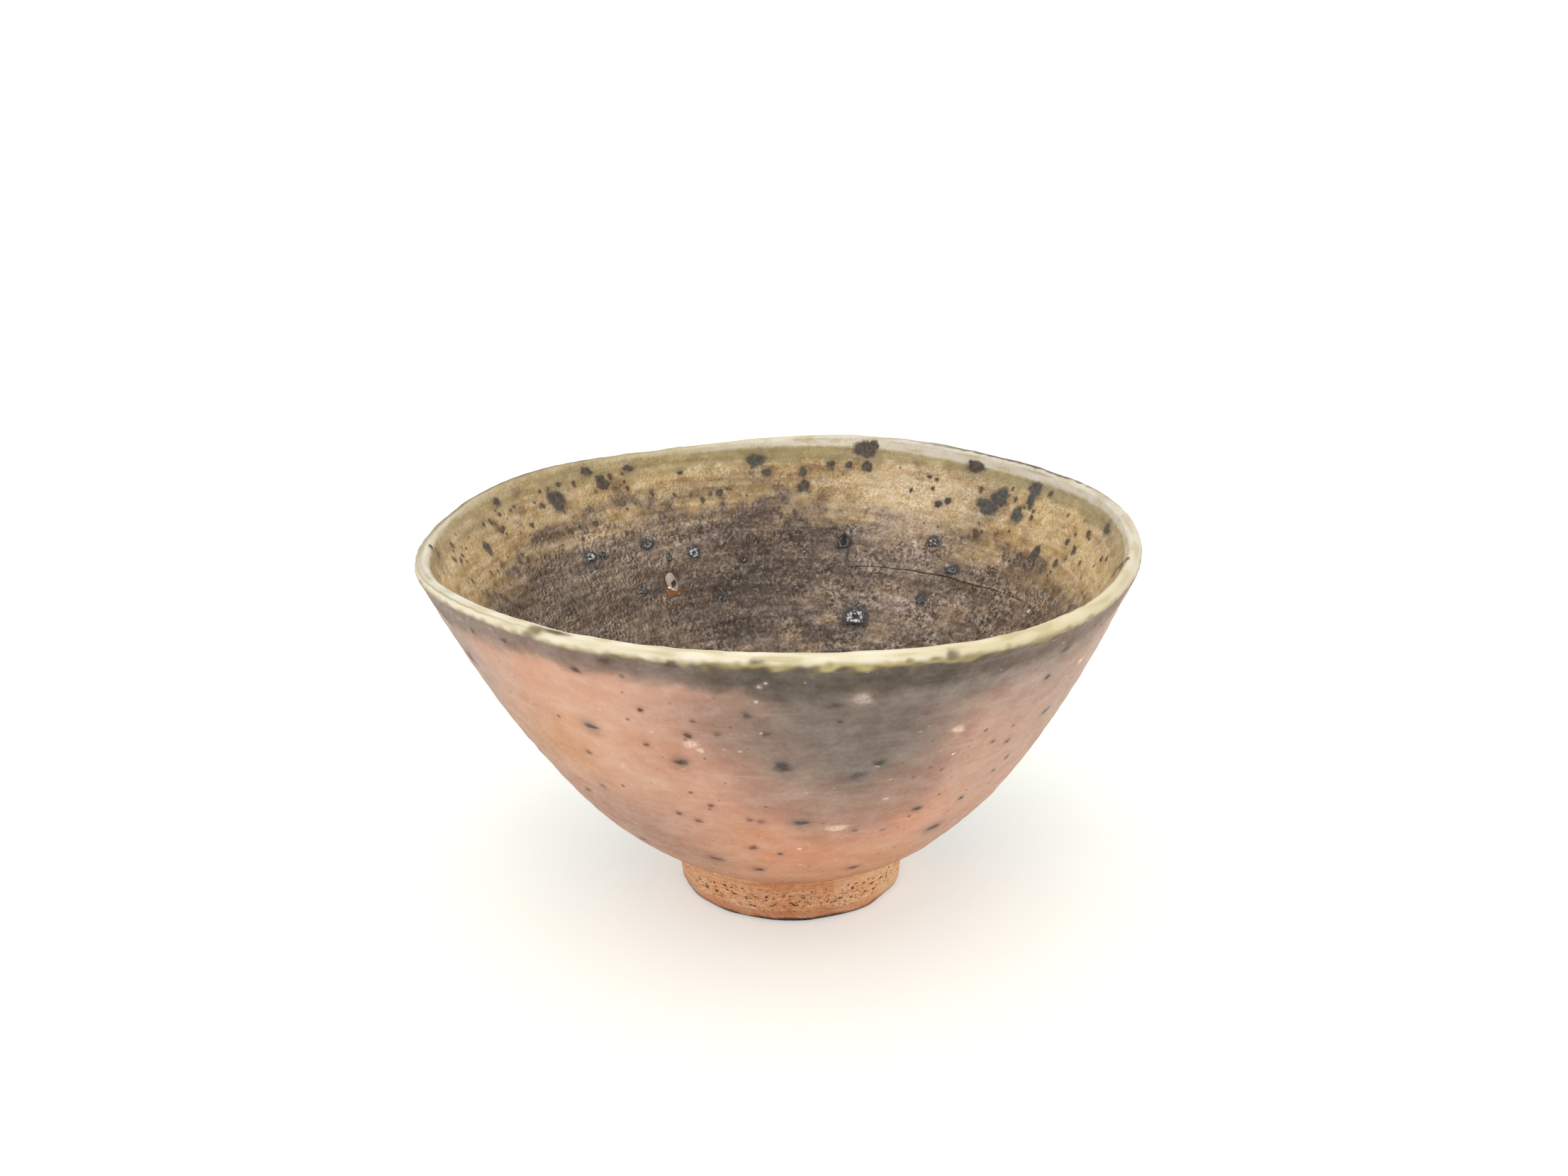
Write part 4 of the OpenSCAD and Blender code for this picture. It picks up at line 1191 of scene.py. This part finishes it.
def foot_profile():
    """Radius and height from the recess down, under the rest and up the outside to the joint."""
    recess_base = REST_R - REST_W
    corners = np.array([
        (RECESS_R, FOOT_H), (recess_base - 0.02, 0.4), (recess_base + 0.1, 0.1), (recess_base + 0.4, 0.0),
        (REST_R - 0.35, 0.0), (REST_R - 0.05, 0.12), (REST_R + 0.12, 0.55), (JOINT_R - 0.05, BEVEL_H - 0.05),
        (JOINT_R, BEVEL_H + 0.35), (JOINT_R, FOOT_H - 2.0), (JOINT_R + 0.02, FOOT_H - 1.2),
        (JOINT_R + 0.35, FOOT_H - 0.5), (JOINT_R + 0.9, FOOT_H - 0.15)])
    length = np.concatenate([[0], np.cumsum(np.hypot(*np.diff(corners, axis=0).T))])
    steps = np.linspace(0, length[-1], round(length[-1] / FOOT_STEP))
    return np.stack([np.interp(steps, length, corners[:, k]) for k in (0, 1)], 1)


finish_piece(turned_piece("foot_ring", foot_profile(), TURNS, foot_dent, foot_marks, across=1, down=4),
             clay_material("bare_foot", tone(236, 196, 160)), "bare_foot", "foot_ring")


def recess_dent(r, z, az):
    """The turner's spiral under the foot."""
    spiral = np.sin(2 * math.pi * (r / 2.6 - az / 360))
    groove = 0.16 * spiral * smooth(0.8, 3, r) * (1 - smooth(RECESS_R - 1, RECESS_R, r))
    return groove + 0.05 * ripple(ring_points(r, z, az), 3, 71)


def recess_marks(r, z, az):
    """Paint of the recess: bare clay with browner patches."""
    points = ring_points(*(np.ravel(v) for v in (r, z, az)))
    patchy = 0.5 * smooth(-0.5, 1.0, ripple(points, 6, 72))
    return clay_marks(lay(plain((194, 150, 116), len(points)), patchy, (176, 128, 96)), 0.0, 0.5)


recess_r = np.linspace(0.02, RECESS_R + 0.1, RECESS_ROWS)
recess = np.stack([recess_r, FOOT_H - 0.05 - RECESS_BOSS * (1 - (recess_r / RECESS_R) ** 2)], 1)
finish_piece(turned_piece("bowl_wall", recess, RECESS_TURNS, recess_dent, recess_marks, across=2, down=2),
             clay_material("stoneware", tone(212, 176, 144)), "stoneware", "bowl_wall")


# Floor, light and camera

def seen_directly(n):
    """1 where the camera sees a thing, straight or in a reflection or through glass."""
    path = n.add("ShaderNodeLightPath").outputs
    mirrored = n.calc("MAXIMUM", path["Is Glossy Ray"], path["Is Transmission Ray"])
    return n.calc("MAXIMUM", path["Is Camera Ray"], mirrored)


FLOOR_SHADED, FLOOR_LIFT, FLOOR_PLAIN = (0.81, 0.81, 0.71, 1), (0.332, 0.355, 0.376, 1), (0.86, 0.86, 0.85, 1)


def floor_material():
    """Plain pale floor that the camera sees as white, with the bowl's shadow kept."""
    n = start_material("floor")
    shaded = n.add("ShaderNodeBsdfDiffuse", {"Color": FLOOR_SHADED})
    lift = n.add("ShaderNodeEmission", {"Color": FLOOR_LIFT, "Strength": 1.0})
    white = n.add("ShaderNodeAddShader", {0: shaded.outputs[0], 1: lift.outputs[0]})
    matt = n.add("ShaderNodeBsdfDiffuse", {"Color": FLOOR_PLAIN})
    both = n.add("ShaderNodeMixShader", {0: seen_directly(n), 1: matt.outputs[0], 2: white.outputs[0]})
    n.add("ShaderNodeOutputMaterial", {"Surface": both.outputs[0]})
    return n.material


FLOOR_HALF, FLOOR_Z = 10.0, -0.00005
floor_mesh = bpy.data.meshes.new("floor")
floor_corners = ((-1, -1), (1, -1), (1, 1), (-1, 1))
floor_points = [(x * FLOOR_HALF, y * FLOOR_HALF, FLOOR_Z) for x, y in floor_corners]
floor_mesh.from_pydata(floor_points, [], [(0, 1, 2, 3)])
floor_mesh.materials.append(floor_material())
floor = bpy.data.objects.new("floor", floor_mesh)
bpy.context.collection.objects.link(floor)

WORLD_LIGHT, SUN_LIGHT, FILL_LIGHT = 0.87, 0.70, 0.45
scene = bpy.context.scene
world = bpy.data.worlds.new("studio")
scene.world = world
world.use_nodes = True
world.node_tree.nodes.clear()
w = Nodes(world.node_tree)
glow = w.add("ShaderNodeMapRange", {"Value": seen_directly(w), "To Min": WORLD_LIGHT, "To Max": 1.0})
sky = w.add("ShaderNodeBackground", {"Color": (1, 1, 1, 1), "Strength": glow.outputs["Result"]})
w.add("ShaderNodeOutputWorld", {"Surface": sky.outputs[0]})

for name, energy, spread, tilt in (
        ("soft_key", SUN_LIGHT, 60, (8, -6, 0)), ("front_fill", FILL_LIGHT, 90, (78, 0, 0))):
    sun = bpy.data.lights.new(name, "SUN")
    sun.energy, sun.angle = energy, math.radians(spread)
    lamp = bpy.data.objects.new(name, sun)
    lamp.rotation_euler = [math.radians(v) for v in tilt]
    bpy.context.collection.objects.link(lamp)

# The photograph's own view: 2212 by 1659 pixels, focal length 2500 pixels
PHOTO_W, PHOTO_FOCAL = 2212, 2500
CAMERA_AT = Vector((2.4024, -283.5652, 153.7457)) * MM
CAMERA_DOWN, CAMERA_YAW, CAMERA_ROLL = 0.3407, 0.0045, -0.0129
camera = bpy.data.cameras.new("photo_view")
camera.sensor_fit, camera.sensor_width = "HORIZONTAL", 36
camera.lens = PHOTO_FOCAL * camera.sensor_width / PHOTO_W
camera.clip_start, camera.clip_end = 0.01, 50
viewer = bpy.data.objects.new("photo_view", camera)
viewer.matrix_world = (Matrix.Translation(CAMERA_AT) @ Matrix.Rotation(CAMERA_YAW, 4, "Z")
                       @ Matrix.Rotation(math.pi / 2 - CAMERA_DOWN, 4, "X")
                       @ Matrix.Rotation(CAMERA_ROLL, 4, "Z"))
bpy.context.collection.objects.link(viewer)
scene.camera = viewer
scene.view_settings.view_transform = "Standard"
